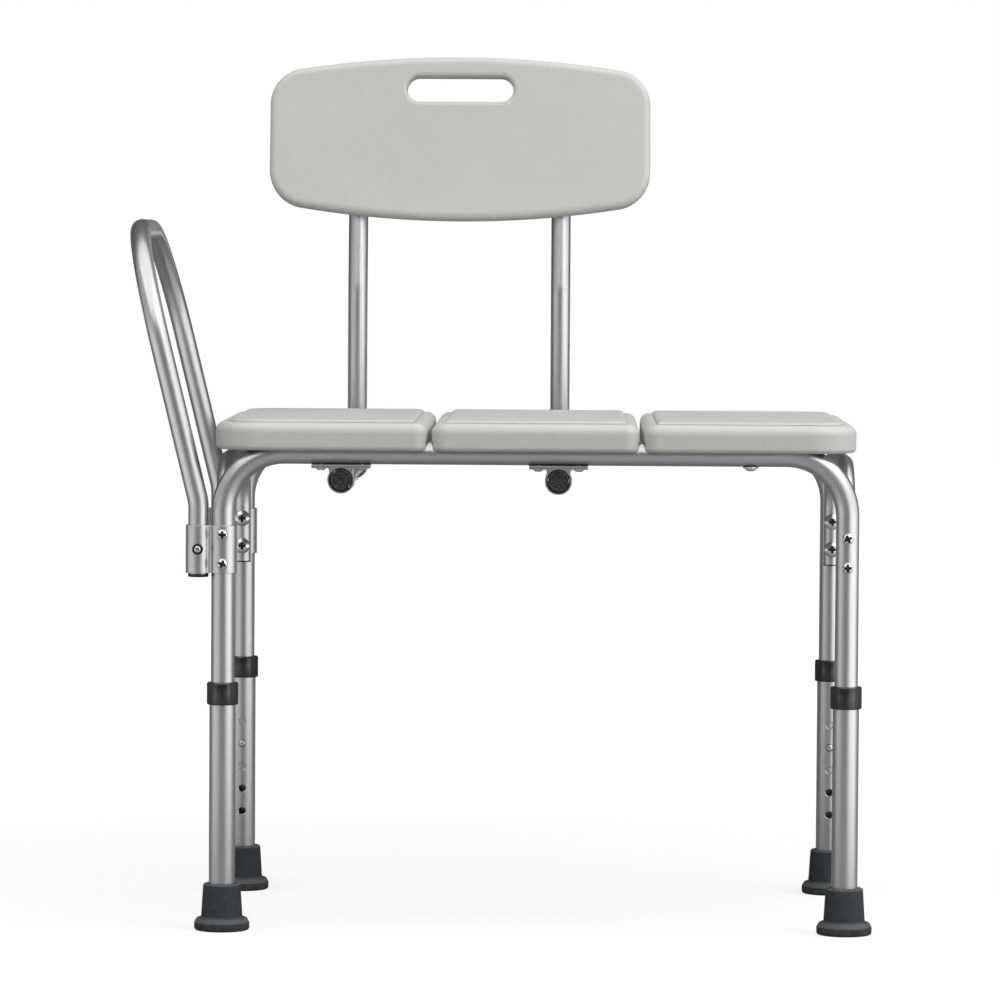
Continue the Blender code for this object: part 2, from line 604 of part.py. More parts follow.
def end_plug(name, looks, group, location, rotation, tube_r, wall, rim, rim_r):
    """A moulded plug with a spigot in the tube's end. Its own +Z points into the tube."""
    spigot = tube_r - wall - SEAT_GAP
    bm = bmesh.new()
    add_lathe(bm, [(0, -rim), (rim_r * PLUG_FACE, -rim), (rim_r, -rim * PLUG_BEVEL), (rim_r, -SEAT_GAP),
                   (spigot, -SEAT_GAP), (spigot, CAP_SPIGOT), (0, CAP_SPIGOT)], TUBE_SIDES)
    finish(bm, name, looks["black"], group, location, rotation)


def double_ring_outline():
    """The sleeve's section: a ring round the leg and a ring round the arm, joined by a narrow web."""
    leg_angle = math.pi - math.asin(SLEEVE_WEB / SLEEVE_LEG_R)
    arm_angle = math.asin(SLEEVE_WEB / SLEEVE_ARM_R)
    around_leg = arc_points((0, 0), SLEEVE_LEG_R, -leg_angle, leg_angle, RING_STEPS)
    around_arm = arc_points((-ARM_OFFSET, 0), SLEEVE_ARM_R, arm_angle, math.tau - arm_angle, RING_STEPS)
    return around_leg + around_arm


def arm_sleeve(end, looks, root):
    """A double sleeve bolted to the leg, whose outer ring takes the arm rail."""
    y = ENDS[end] * LEG_Y
    bm = bmesh.new()
    add_loft(bm, [[(*point, height) for point in double_ring_outline()]
                  for height in (-SLEEVE_H / 2, SLEEVE_H / 2)])
    sleeve = finish(bm, f"arm_sleeve_{end}", looks["aluminium"], root, (-LEG_X, y, SLEEVE_Z))
    bores = bmesh.new()
    for x, radius in ((0, FRAME_R + SEAT_GAP), (-ARM_OFFSET, ARM_R + SLIP_GAP)):
        add_cylinder(bores, (x, 0, -SLEEVE_H), (x, 0, SLEEVE_H), flats_at(radius, BORE_SIDES), BORE_SIDES)
    boolean(sleeve, bores, "DIFFERENCE", "bores")
    drills = bmesh.new()
    reach = 2 * SLEEVE_LEG_R
    for z in (UPPER_BOLT_Z - SLEEVE_Z, LOWER_BOLT_Z - SLEEVE_Z):
        add_bolt_hole(drills, (0, -reach, z), (0, reach, z))
    add_cylinder(drills, (-ARM_OFFSET, 0, 0), (-ARM_OFFSET, ENDS[end] * reach, 0), HOLE_D / 2, HOLE_SIDES)
    boolean(sleeve, drills, "DIFFERENCE", "drills")


def arm(looks, root):
    """The arm rail: one tube from sleeve to sleeve, leaning out above the seat, with its plugs and clips."""
    group = empty("arm_lift", (ARM_X, 0, ARM_BOTTOM_Z), root)
    corners = []
    for y in (-LEG_Y, LEG_Y):
        foot, knee = (ARM_X, y, ARM_BOTTOM_Z), (ARM_X, y, ARM_KNEE_Z)
        top = (ARM_TOP_X, y, ARM_TOP_Z)
        corners += [foot, knee, top] if y < 0 else [top, knee, foot]
    bm = bmesh.new()
    radii = (ARM_KNEE_R, ARM_CORNER_R, ARM_CORNER_R, ARM_KNEE_R)
    add_tube(bm, bent_path(corners, radii), ARM_R, ARM_TUBE_WALL, (1, 0, 0))
    bmesh.ops.translate(bm, verts=bm.verts, vec=(-ARM_X, 0, -ARM_BOTTOM_Z))
    rail = finish(bm, "arm_rail", looks["aluminium"], group, (ARM_X, 0, ARM_BOTTOM_Z))
    cutter = bmesh.new()
    height = SLEEVE_Z - ARM_BOTTOM_Z
    for sign in ENDS.values():
        add_cylinder(cutter, (0, sign * LEG_Y, height), (0, sign * (LEG_Y + 2 * ARM_R), height),
                     HOLE_D / 2, HOLE_SIDES)
    boolean(rail, cutter, "DIFFERENCE")
    for end, sign in ENDS.items():
        end_plug(f"arm_plug_{end}", looks, group, (ARM_X, sign * LEG_Y, ARM_BOTTOM_Z), (0, 0, 0),
                 ARM_R, ARM_TUBE_WALL, PLUG_RIM, ARM_R)
        place = (ARM_X, sign * LEG_Y, SLEEVE_Z)
        press = empty(f"arm_button_{end}", place, group)
        snap_clip(f"arm_snap_clip_{end}", press, place, (0, 0, sign * math.pi / 2),
                  ARM_R - ARM_TUBE_WALL, SLEEVE_ARM_R + BUTTON_PROUD, looks)


def back_bracket(end, side, looks, root):
    """A bracket under a frame tube: a flange, and below it the ring that a back tube slides in."""
    x = BACK_X + SIDES[side] * BACK_SPAN / 2
    top, low = BRACKET_TOP_Z - BACK_Z, BRACKET_TOP_Z - BACK_Z - BRACKET_FLANGE
    half = BRACKET_W / 2
    ring = arc_points((0, 0), BRACKET_R, BRACKET_RING_TOP, -math.pi - BRACKET_RING_TOP, RING_STEPS)
    outline = [(-half, top), (half, top), (half, low), (BRACKET_NECK, low), *ring,
               (-BRACKET_NECK, low), (-half, low)]
    bm = bmesh.new()
    add_loft(bm, [[(px, y, pz) for px, pz in outline] for y in (-BRACKET_L / 2, BRACKET_L / 2)])
    bracket = finish(bm, f"back_bracket_{end}_{side}", looks["aluminium"], root,
                     (x, ENDS[end] * LEG_Y, BACK_Z))
    cutter = bmesh.new()
    bore = flats_at(BRACKET_BORE_R, BORE_SIDES)
    add_cylinder(cutter, (0, -BRACKET_L, 0), (0, BRACKET_L, 0), bore, BORE_SIDES)
    boolean(bracket, cutter, "DIFFERENCE", "bore")
    if end == "rear":
        drill = bmesh.new()
        add_cylinder(drill, (0, 0, 0), (0, 0, -2 * BRACKET_R), HOLE_D / 2, HOLE_SIDES)
        boolean(bracket, drill, "DIFFERENCE", "drill")


def back_tube(side, looks, group):
    """A back tube: under the seat through both brackets, up behind it and then leaning back."""
    x = BACK_X + SIDES[side] * BACK_SPAN / 2
    rise = Vector((0, math.sin(BACK_LEAN), math.cos(BACK_LEAN)))
    top = Vector((0, BACK_PANEL_Y, BACK_PANEL_Z)) + rise * POST_TOP
    corners = [(0, BACK_FRONT_Y, BACK_Z), (0, POST_Y, BACK_Z), (0, POST_Y, POST_KNEE_Z), top]
    bm = bmesh.new()
    add_tube(bm, bent_path(corners, (BACK_BEND_R, POST_KNEE_R)), BACK_R, BACK_TUBE_WALL, (1, 0, 0))
    tube = finish(bm, f"back_tube_{side}", looks["aluminium"], group, (x, 0, 0))
    cutter = bmesh.new()
    add_cylinder(cutter, (0, LEG_Y, BACK_Z), (0, LEG_Y, BACK_Z - 2 * BACK_R), HOLE_D / 2, HOLE_SIDES)
    boolean(tube, cutter, "DIFFERENCE")

    end_plug(f"back_tube_cap_{side}", looks, group, (x, BACK_FRONT_Y, BACK_Z), (-math.pi / 2, 0, 0),
             BACK_R, BACK_TUBE_WALL, CAP_T, BACK_R)
    end_plug(f"back_post_plug_{side}", looks, group, (x, top.y, top.z), (math.pi - BACK_LEAN, 0, 0),
             BACK_R, BACK_TUBE_WALL, CAP_T, BACK_R)
    place = (x, LEG_Y, BACK_Z)
    press = empty(f"back_button_{side}", place, group)
    snap_clip(f"back_snap_clip_{side}", press, place, (math.pi / 2, math.pi / 2, 0),
              BACK_R - BACK_TUBE_WALL, BRACKET_R + BUTTON_PROUD, looks)


def arched_outline(inset):
    """The backrest's outline in X and Z: straight sides, arched top and bottom, rounded corners."""
    half_w, half_h = BACK_PANEL_W / 2, BACK_PANEL_SIDE / 2
    flat = rounded_outline(half_w, half_h, (BACK_CORNER_R,) * 4, inset, ARCH_STEPS)
    arched = []
    for x, z in flat:
        rise = BACK_ARCH_TOP if z > 0 else -BACK_ARCH_BOTTOM
        share = min(1, abs(z) / (half_h - BACK_CORNER_R)) * (1 - (x / half_w) ** 2)
        arched.append((x, z + rise * share))
    return arched


def backrest(looks, root):
    """The moulded back panel on its two tubes. All of it slides out of the brackets to the back."""
    group = empty("back_slide", (BACK_X, 0, BACK_Z), root)
    for side in SIDES:
        back_tube(side, looks, group)
    rear, front = BACK_PANEL_REAR, BACK_PANEL_REAR - BACK_PANEL_T
    sections = [(inset, rear - drop) for inset, drop in rounded_edge(BACK_REAR_EDGE_R)[::-1]]
    sections += [(inset, front + drop) for inset, drop in rounded_edge(BACK_FRONT_EDGE_R)]
    bm = bmesh.new()
    add_loft(bm, [[(x, y, z) for x, z in arched_outline(inset)] for inset, y in sections])
    panel = finish(bm, "backrest_panel", looks["plastic"], group, (BACK_X, BACK_PANEL_Y, BACK_PANEL_Z),
                   (-BACK_LEAN, 0, 0))
    slot = bmesh.new()
    lips = flared_lip(rear, SLOT_REAR_LIP, 1)[::-1] + flared_lip(front, SLOT_FRONT_LIP, -1)
    add_loft(slot, [[(x, y, SLOT_RISE + z) for x, z in
                     rounded_outline(SLOT_W / 2, SLOT_H / 2, (SLOT_H / 2 - LEAST_FLAT,) * 4, inset)]
                    for inset, y in lips])
    boolean(panel, slot, "DIFFERENCE", "slot")
    channels = bmesh.new()
    for sign in SIDES.values():
        x = sign * BACK_SPAN / 2
        add_cylinder(channels, (x, 0, -BACK_PANEL_SIDE), (x, 0, POST_TOP + CAP_T + SEAT_GAP),
                     flats_at(BACK_R + SEAT_GAP, BORE_SIDES), BORE_SIDES)
    boolean(panel, channels, "DIFFERENCE", "channels")


def build():
    clear_scene()
    looks = make_materials()
    root = empty("bench", (0, 0, 0))
    root.location = -CENTRE
    frame_tube("front_frame_tube", "front", looks, root)
    frame_tube("rear_frame_tube", "rear", looks, root)
    seat(looks, root)
    for side in SIDES:
        end_brace(side, looks, root)
        for end in ENDS:
            leg_fasteners(end, side, looks, root)
            leg(end, side, looks, root)
            leg_clip(end, side, looks, root)
            back_bracket(end, side, looks, root)
    for end in ENDS:
        arm_sleeve(end, looks, root)
    arm(looks, root)
    backrest(looks, root)


build()
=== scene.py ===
# %% [markdown]
# A tub transfer bench stands across the wall of a bath, so that a person can sit down outside and slide
# over to the inside. This script dresses its CAD model: finer tubes, mouldings and fasteners in the same
# places, and a procedural finish for each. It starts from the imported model, whose box is measured first,
# because nothing that is added may change the bench's size.

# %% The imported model
import math
import bmesh
import bpy
from mathutils import Matrix, Vector


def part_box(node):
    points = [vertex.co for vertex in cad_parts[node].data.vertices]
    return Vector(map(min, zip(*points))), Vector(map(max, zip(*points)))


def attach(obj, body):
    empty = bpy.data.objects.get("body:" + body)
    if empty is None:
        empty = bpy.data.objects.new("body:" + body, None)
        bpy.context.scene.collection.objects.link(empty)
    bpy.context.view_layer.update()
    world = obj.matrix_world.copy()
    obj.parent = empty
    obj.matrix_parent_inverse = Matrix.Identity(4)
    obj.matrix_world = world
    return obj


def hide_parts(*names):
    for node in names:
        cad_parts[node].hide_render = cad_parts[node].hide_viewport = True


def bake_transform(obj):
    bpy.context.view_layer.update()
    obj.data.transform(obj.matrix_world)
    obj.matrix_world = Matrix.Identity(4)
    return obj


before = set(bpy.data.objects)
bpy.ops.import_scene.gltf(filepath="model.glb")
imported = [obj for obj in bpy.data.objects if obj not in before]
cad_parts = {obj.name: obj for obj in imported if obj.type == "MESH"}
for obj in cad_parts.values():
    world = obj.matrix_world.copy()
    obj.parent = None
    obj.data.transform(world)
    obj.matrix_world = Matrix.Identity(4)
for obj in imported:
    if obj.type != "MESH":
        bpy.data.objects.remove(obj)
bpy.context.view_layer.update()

# %% [markdown]
# Every place below is given from the middle of the four legs, as on a maker's drawing. The two leg tubes
# at opposite corners say where that middle lies in the frame.

# %% The middle of the legs
SIDES = {"left": -1, "right": 1}
ENDS = {"front": -1, "rear": 1}
UP, DOWN = (0, 0, 1), (0, 0, -1)
CORNERS = [(end, out, side, way) for end, out in ENDS.items() for side, way in SIDES.items()]


def middle_of(node):
    low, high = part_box(node)
    return (low + high) / 2


MIDDLE = (middle_of("leg_tube_front_left") + middle_of("leg_tube_rear_right")) / 2
MIDDLE.z = 0
LEG_X, LEG_Y = (middle_of("leg_tube_rear_right") - MIDDLE).xy


def at(x, y, z):
    return MIDDLE + Vector((x, y, z))


print("legs at", round(LEG_X, 4), round(LEG_Y, 4), "from", [round(v, 4) for v in MIDDLE])

# %% [markdown]
# A product photograph is taken from far off with a long lens, which keeps upright tubes parallel. The
# camera was fitted to the legs, the seat, the backrest and the arm rail. It stands six metres in front,
# 0.74 m up, and looks down by under three degrees.

# %% Camera
CAMERA_PLACE = (0.0367, -5.9872, 0.7370)
YAW, PITCH, ROLL = -0.0128, 0.0475, -0.0062
FOCAL_WIDTHS = 5.4634      # focal length in widths of the square picture
SENSOR, FAR_CLIP = 36.0, 60

ahead = Vector((math.sin(YAW) * math.cos(PITCH), math.cos(YAW) * math.cos(PITCH), -math.sin(PITCH)))
level = ahead.cross(Vector(UP)).normalized()
upward = level.cross(ahead)
across = math.cos(ROLL) * level - math.sin(ROLL) * upward
over = math.sin(ROLL) * level + math.cos(ROLL) * upward
camera_data = bpy.data.cameras.new("camera")
camera_data.sensor_width = SENSOR
camera_data.lens = FOCAL_WIDTHS * SENSOR
camera_data.clip_end = FAR_CLIP
camera = bpy.data.objects.new("camera", camera_data)
bpy.context.scene.collection.objects.link(camera)
turn = Matrix((across, over, -ahead)).transposed().to_4x4()
camera.matrix_world = Matrix.Translation(at(*CAMERA_PLACE)) @ turn
bpy.context.scene.camera = camera
bpy.context.scene.view_settings.view_transform = "Standard"
print("camera at", [round(v, 3) for v in camera.location], "lens", round(camera_data.lens, 1), "mm")

# %% [markdown]
# Shader maths reads best as sums. This small class wraps a socket of a node tree, and a sum on it adds a
# Math node and gives back that node's socket. A tree's one method, node, adds any other kind: settings
# first, then the values or links of its sockets.

# %% Node trees
class Signal:
    """A node's output socket that can be added, multiplied and so on."""

    def __init__(self, graph, socket):
        self.graph, self.socket = graph, socket

    def __add__(self, other):
        return self.graph.maths("ADD", self, other)

    def __sub__(self, other):
        return self.graph.maths("SUBTRACT", self, other)

    def __rsub__(self, other):
        return self.graph.maths("SUBTRACT", other, self)

    def __mul__(self, other):
        return self.graph.maths("MULTIPLY", self, other)

    __radd__, __rmul__ = __add__, __mul__

    def between(self, low, high):
        """0 below low, 1 above high and smooth in between."""
        return self.graph.node("MapRange", {"Value": self, "From Min": low, "From Max": high},
                               interpolation_type="SMOOTHSTEP")


class Graph:
    """A node tree whose nodes are added through one method."""

    family = "ShaderNode"

    def __init__(self, tree):
        self.tree = tree

    def node(self, kind, values=None, out=0, **settings):
        made = self.tree.nodes.new(kind if "Node" in kind else self.family + kind)
        for name, value in settings.items():
            setattr(made, name, value)
        for name, value in (values or {}).items():
            for one in value if isinstance(value, list) else [value]:
                self.feed(made.inputs[name], one)
        return Signal(self, made.outputs[out])

    def feed(self, socket, value):
        if isinstance(value, Signal):
            self.tree.links.new(value.socket, socket)
        else:
            socket.default_value = value

    def maths(self, operation, *terms):
        return self.node("ShaderNodeMath", dict(enumerate(terms)), operation=operation)

    def parts(self, vector):
        """The X, Y and Z of a vector."""
        made = self.node("ShaderNodeSeparateXYZ", {0: vector})
        return [Signal(self, socket) for socket in made.socket.node.outputs]

    def ray(self, kind):
        """1 for rays of the kind, such as Camera or Glossy, and 0 for others."""
        return self.node("LightPath", out=f"Is {kind} Ray")


class Finish(Graph):
    """A material's graph, with its shader and the few textures that the finishes share."""

    def __init__(self, name, constants):
        self.material = bpy.data.materials.new(name)
        self.material.use_nodes = True
        super().__init__(self.material.node_tree)
        self.shader = self.tree.nodes["Principled BSDF"]
        for socket, value in constants.items():
            self.shader.inputs[socket].default_value = value
        self.place = self.node("TexCoord", out="Object")

    def noise(self, scale, detail=2.0, place=None):
        return self.node("TexNoise", {"Vector": place or self.place, "Scale": scale, "Detail": detail})

    def pebbles(self, scale):
        return self.node("TexVoronoi", {"Vector": self.place, "Scale": scale, "Smoothness": 0.6},
                         out="Distance", feature="SMOOTH_F1")

    def blend(self, share, one, other):
        made = self.node("Mix", {"Factor": share}, data_type="RGBA").socket.node
        for name, value in (("A", one), ("B", other)):
            socket = next(s for s in made.inputs if s.name == name and s.type == "RGBA")
            self.feed(socket, value if isinstance(value, Signal) else (*value, 1))
        return Signal(self, next(s for s in made.outputs if s.type == "RGBA"))

    def attribute(self, name, out="Fac"):
        return self.node("Attribute", out=out, attribute_name=name)

    def surface(self, colour, roughness, height=None, strength=0.2, depth=0.0002):
        self.feed(self.shader.inputs["Base Color"], colour)
        self.feed(self.shader.inputs["Roughness"], roughness)
        if height is not None:
            bump = self.node("Bump", {"Strength": strength, "Distance": depth, "Height": height})
            self.feed(self.shader.inputs["Normal"], bump)
        print("finish", self.material.name, len(self.tree.nodes), "nodes")
        return self.material


# %% [markdown]
# The seat and the backrest are blow-moulded polyethylene, a warm light grey. The mould's etched walls
# leave a fine pebble on it, and the round edges come out smoother; they are also painted a little paler,
# a painted highlight where the light catches them. Two sizes of pebble feed one bump. The attribute that
# the mouldings carry marks the round edges, and is negative in the crease round the sitting surface,
# where it paints shade.

# %% Moulded seat plastic
def seat_plastic():
    finish = Finish("seat_plastic", {"Specular IOR Level": 0.4})
    edge_light_and_gloss = finish.attribute("worn_edge")
    cloud = finish.noise(7.0, 3.0)
    fine, coarse = finish.noise(1500.0, 1.0), finish.pebbles(520.0)
    skin = finish.blend(cloud.between(0.3, 0.7), (0.585, 0.572, 0.545), (0.615, 0.603, 0.576))
    skin = finish.blend(coarse.between(0.1, 0.9) * 0.35, skin, (0.52, 0.508, 0.485))
    # painted highlight: the round edges are painted paler
    skin = finish.blend(edge_light_and_gloss * 0.35, skin, (0.69, 0.682, 0.66))
    # painted shade: the crease round the sitting surface is painted dark
    skin = finish.blend(edge_light_and_gloss * -0.6, skin, (0.22, 0.215, 0.205))
    rough = 0.52 + 0.08 * cloud - 0.12 * edge_light_and_gloss
    grain = (fine * 0.45 + coarse) * (1 - 0.6 * edge_light_and_gloss)
    return finish.surface(skin, rough, grain, strength=0.32, depth=0.0004)


# %% [markdown]
# The tubes are drawn aluminium with a satin anodised skin. Drawing leaves very fine lines along a tube,
# also round its bends, so the lines are laid on an attribute, drawn_place, that holds each point's place
# on the straight tube before it was bent. Long in one direction and short in the other, one noise then
# gives the lines.

# %% Satin aluminium
LINE_STRETCH = (1, 1, 0.012)


def satin_aluminium():
    finish = Finish("satin_aluminium", {"Metallic": 1.0})
    drawn = finish.attribute("drawn_place", out="Vector")
    drawn = finish.node("VectorMath", {0: drawn, 1: LINE_STRETCH}, operation="MULTIPLY")
    lines, speck, cloud = finish.noise(2600.0, 2.0, drawn), finish.noise(900.0), finish.noise(11.0, 3.0)
    tone = 0.55 * lines + 0.25 * speck + 0.20 * cloud
    skin = finish.blend(tone.between(0.3, 0.7), (0.54, 0.545, 0.555), (0.62, 0.625, 0.635))
    rough = 0.26 + 0.10 * lines + 0.04 * cloud
    return finish.surface(skin, rough, lines + 0.5 * speck, strength=0.12, depth=0.00004)


# %% [markdown]
# Two of the black finishes are particular: caps with a coarse pebble on their faces, and glossy collars
# with a hatched pad on each side for wet fingers. The hatch is two families of slanted lines, from the
# angle round the collar and the height up it. Its pads are where x is large on the collar's own axes.

# %% Black mouldings
HATCH_TURNS = 60.0         # slanted lines round a collar
HATCH_PITCH = 0.0018       # metres between them, up the collar
HATCH_X = 0.0090           # metres to each side of the collar's axis, where the pads begin


def pebbled_black():
    finish = Finish("pebbled_black", {"Specular IOR Level": 0.4})
    pebble = finish.pebbles(720.0)
    skin = finish.blend(pebble.between(0.15, 0.6), (0.075, 0.078, 0.080), (0.004, 0.004, 0.005))
    return finish.surface(skin, 0.42 + 0.2 * pebble, 1 - pebble, strength=0.6, depth=0.0006)


def hatched_black():
    finish = Finish("hatched_black", {"Specular IOR Level": 0.35, "Coat IOR": 1.5, "Coat Roughness": 0.12})
    x, y, z = finish.parts(finish.attribute("drawn_place", out="Vector"))
    angle, up = finish.maths("ARCTAN2", y, x), z * (math.tau / HATCH_PITCH)
    waves = [finish.maths("SINE", angle * HATCH_TURNS + sign * up) for sign in (1, -1)]
    pads = (x * x * (1 / HATCH_X ** 2)).between(0.9, 1.15)
    hatch = (0.5 + 0.25 * (waves[0] + waves[1])) * pads
    cloud = finish.noise(300.0)
    skin = finish.blend(cloud, (0.008, 0.008, 0.009), (0.013, 0.013, 0.014))
    skin = finish.blend(hatch.between(0.6, 0.95), skin, (0.110, 0.110, 0.118))
    finish.feed(finish.shader.inputs["Coat Weight"], 1 - pads)
    return finish.surface(skin, 0.34 + 0.10 * cloud, hatch, strength=0.25, depth=0.0003)


# %% [markdown]
# The feet are grey rubber: matt, finely grained, and rubbed paler low down where they meet the floor.
# Their round edges, the ledge of the flange and the rim of the cup are painted paler as well, a painted
# highlight. Height above the floor is the Z of Object coordinates, because each piece keeps its place in
# its mesh.

# %% Grey rubber
def grey_rubber():
    finish = Finish("grey_rubber", {"Specular IOR Level": 0.35})
    height = finish.parts(finish.place)[2]
    grain, cloud = finish.noise(1900.0), finish.noise(140.0, 4.0)
    low = (1 - height.between(0.004, 0.013)) * cloud.between(0.3, 0.7)
    edge_light_and_gloss = finish.attribute("worn_edge")
    skin = finish.blend(cloud.between(0.25, 0.75), (0.030, 0.037, 0.041), (0.040, 0.048, 0.052))
    # rubbed paler low down, and a painted highlight on the round edges, ledge and cup rim
    skin = finish.blend(0.20 * low + 0.80 * edge_light_and_gloss, skin, (0.130, 0.134, 0.134))
    return finish.surface(skin, 0.62 + 0.18 * grain, grain + 0.4 * cloud, strength=0.25, depth=0.0003)


# %% [markdown]
# Three finishes are plainer: one noise varies the colour and the roughness, and another the height, for the
# first two. They are the black of plugs and bushes, the bright plated steel of bolts, nuts, screws and snap
# buttons, and the painted shade, a near-black metal, in the deep cross of a screw's head.

# %% Plain black, bright steel and the dark cross
def speckled(name, constants, scale, dark, pale, rough, vary, grain=None, strength=0.2, depth=0.0002):
    finish = Finish(name, constants)
    speck = finish.noise(scale)
    skin = finish.blend(speck.between(0.3, 0.7), dark, pale)
    return finish.surface(skin, rough + vary * speck, grain and finish.noise(grain), strength, depth)


PLASTIC, ALUMINIUM, RUBBER = seat_plastic(), satin_aluminium(), grey_rubber()
PEBBLED, HATCHED = pebbled_black(), hatched_black()
BLACK = speckled("plain_black", {"Specular IOR Level": 0.45}, 1300.0, (0.010, 0.010, 0.011),
                 (0.017, 0.017, 0.018), 0.38, 0.15, 1300.0)
STEEL = speckled("bright_steel", {"Metallic": 1.0}, 420.0, (0.66, 0.66, 0.67), (0.76, 0.76, 0.765),
                 0.13, 0.12, 2600.0, 0.05, 0.00004)
# painted shade: the faces in a screw's cross are near-black metal
CROSS_SHADE = speckled("dark_recess", {"Metallic": 1.0}, 1500.0, (0.025, 0.025, 0.027), (0.085, 0.085, 0.09),
                  0.45, 0.25)

# %% [markdown]
# Each finished piece goes through the same last steps: it moves with its CAD body and takes the place of
# the plain CAD nodes that it stands for.

# %% Handing a piece to the frame
TRIANGLES = []


def note(piece, body):
    TRIANGLES.append(sum(len(face.vertices) - 2 for face in piece.data.polygons))
    print(f"{piece.name}: {TRIANGLES[-1]} triangles on {body}")


def hand_over(piece, body, slot, *nodes):
    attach(piece, body)
    if nodes:
        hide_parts(*nodes)
    note(piece, body)


def shade(mesh, sharp_degrees=32):
    mesh.shade_smooth()
    mesh.set_sharp_from_angle(angle=math.radians(sharp_degrees))
    return mesh


def plain(piece):
    """What the modifiers make of the piece, kept as its own mesh, with no modifier left."""
    graph = bpy.context.evaluated_depsgraph_get()
    mesh = bpy.data.meshes.new_from_object(piece.evaluated_get(graph), preserve_all_data_layers=True,
                                           depsgraph=graph)
    piece.modifiers.clear()
    old, piece.data = piece.data, mesh
    bpy.data.meshes.remove(old)
    return piece


def even_normals(piece):
    """Lets the large flat faces decide the shading where they meet a round edge."""
    piece.modifiers.new("even_normals", "WEIGHTED_NORMAL").keep_sharp = True
    return plain(piece)


def piece_from(name, mesh, material=None):
    piece = bpy.data.objects.new(name, mesh)
    bpy.context.scene.collection.objects.link(piece)
    if material:
        mesh.materials.append(material)
    return piece


# %% [markdown]
# Most shapes that are not bent tube are skins over rings of points: a turned shape, a moulding that is a
# stack of outlines, a strip. One function makes them all. The attribute drawn_place holds where each
# point is before the piece is set up, for finishes that run along the piece.

# %% Skins over rings
def arc(centre, radius, start, stop, steps):
    return [Vector((centre[0] + radius * math.cos(start + (stop - start) * k / steps),
                    centre[1] + radius * math.sin(start + (stop - start) * k / steps)))
            for k in range(steps + 1)]


def circle(centre, radius, count=64):
    return arc(centre, radius, 0, math.tau, count)[:-1]


def skin_over(rings, edge_light_levels=None, closed=False, capped=False):
    """A bmesh with faces from each ring of points to the next. A ring may be a single point."""
    bm = bmesh.new()
    edge_light_and_gloss = bm.verts.layers.float.new("worn_edge") if edge_light_levels else None
    loops = []
    for i, ring in enumerate(rings):
        loops.append([bm.verts.new(point) for point in ring])
        for vertex in loops[-1] if edge_light_levels else ():
            vertex[edge_light_and_gloss] = edge_light_levels[i]
    for one, other in zip(loops, loops[1:] + (loops[:1] if closed else [])):
        count = max(len(one), len(other))
        for k in range(count):
            j = (k + 1) % count
            corners = (one[k % len(one)], one[j % len(one)], other[j % len(other)], other[k % len(other)])
            corners = list(dict.fromkeys(corners))
            if len(corners) > 2:
                bm.faces.new(corners)
    for loop in (loops[0], loops[-1]) if capped else ():
        bm.faces.new(loop)
    return bm


def keep_place(bm):
    layer = bm.verts.layers.float_vector.new("drawn_place")
    for vertex in bm.verts:
        vertex[layer] = vertex.co


def mesh_of(bm, name):
    """The bmesh as a mesh, with its faces outward."""
    bmesh.ops.recalc_face_normals(bm, faces=bm.faces)
    mesh = bpy.data.meshes.new(name)
    bm.to_mesh(mesh)
    bm.free()
    return mesh


# %% [markdown]
# Geometry Nodes make what follows a path or repeats. A tree is built here with named inputs, and use_tree
# sets a modifier's inputs by identifier.

# %% Building a Geometry Nodes tree
class Maker(Graph):
    """A Geometry Nodes tree with a Geometry input and output, and named inputs for its sizes."""

    family = "GeometryNode"

    def __init__(self, name, inputs):
        super().__init__(bpy.data.node_groups.new(name, "GeometryNodeTree"))
        labels = {"Geometry": "Geometry", **inputs}
        for label, kind in labels.items():
            self.tree.interface.new_socket(label, in_out="INPUT", socket_type="NodeSocket" + kind)
        self.tree.interface.new_socket("Geometry", in_out="OUTPUT", socket_type="NodeSocketGeometry")
        entry = self.tree.nodes.new("NodeGroupInput")
        self.given = {label: Signal(self, entry.outputs[label]) for label in labels}
        self.result = self.tree.nodes.new("NodeGroupOutput").inputs[0]

    def attribute(self, name, data_type="FLOAT"):
        return self.node("InputNamedAttribute", {"Name": name}, data_type=data_type)

    def store(self, geometry, name, value, **settings):
        return self.node("StoreNamedAttribute", {"Geometry": geometry, "Name": name, "Value": value},
                         **settings)

    def copies(self, points, template, rotation):
        """The template's geometry at every point, realized."""
        one = self.node("ObjectInfo", {"Object": template}, out="Geometry")
        many = self.node("InstanceOnPoints", {"Points": points, "Instance": one, "Rotation": rotation})
        return self.node("RealizeInstances", {"Geometry": many})

    def finish(self, geometry, looks):
        """The tree's end. looks gives each material's input and the faces that it is for."""
        geometry = self.node("RealizeInstances", {"Geometry": geometry})
        for label, faces in looks.items():
            geometry = self.node("SetMaterial", {"Geometry": geometry, "Material": self.given[label],
                                                 "Selection": faces})
        self.feed(self.result, geometry)
        print("tree", self.tree.name, len(self.tree.nodes), "nodes")
        return self.tree


def use_tree(piece, tree, values):
    modifier = piece.modifiers.new(tree.name, "NODES")
    modifier.node_group = tree
    for item in tree.interface.items_tree:
        if item.in_out == "INPUT" and item.name in values:
            modifier[item.identifier] = values[item.name]


# %% [markdown]
# A bench like this is mostly bent tube. The real tube is drawn straight and bent round a former, so here
# a line of corners gets round bends and a ring is swept along it. Extruding the swept skin inwards gives
# the tube a real wall, which shows at open ends and in holes. Each point's place on the straight tube is
# kept for the drawn lines of the finish.

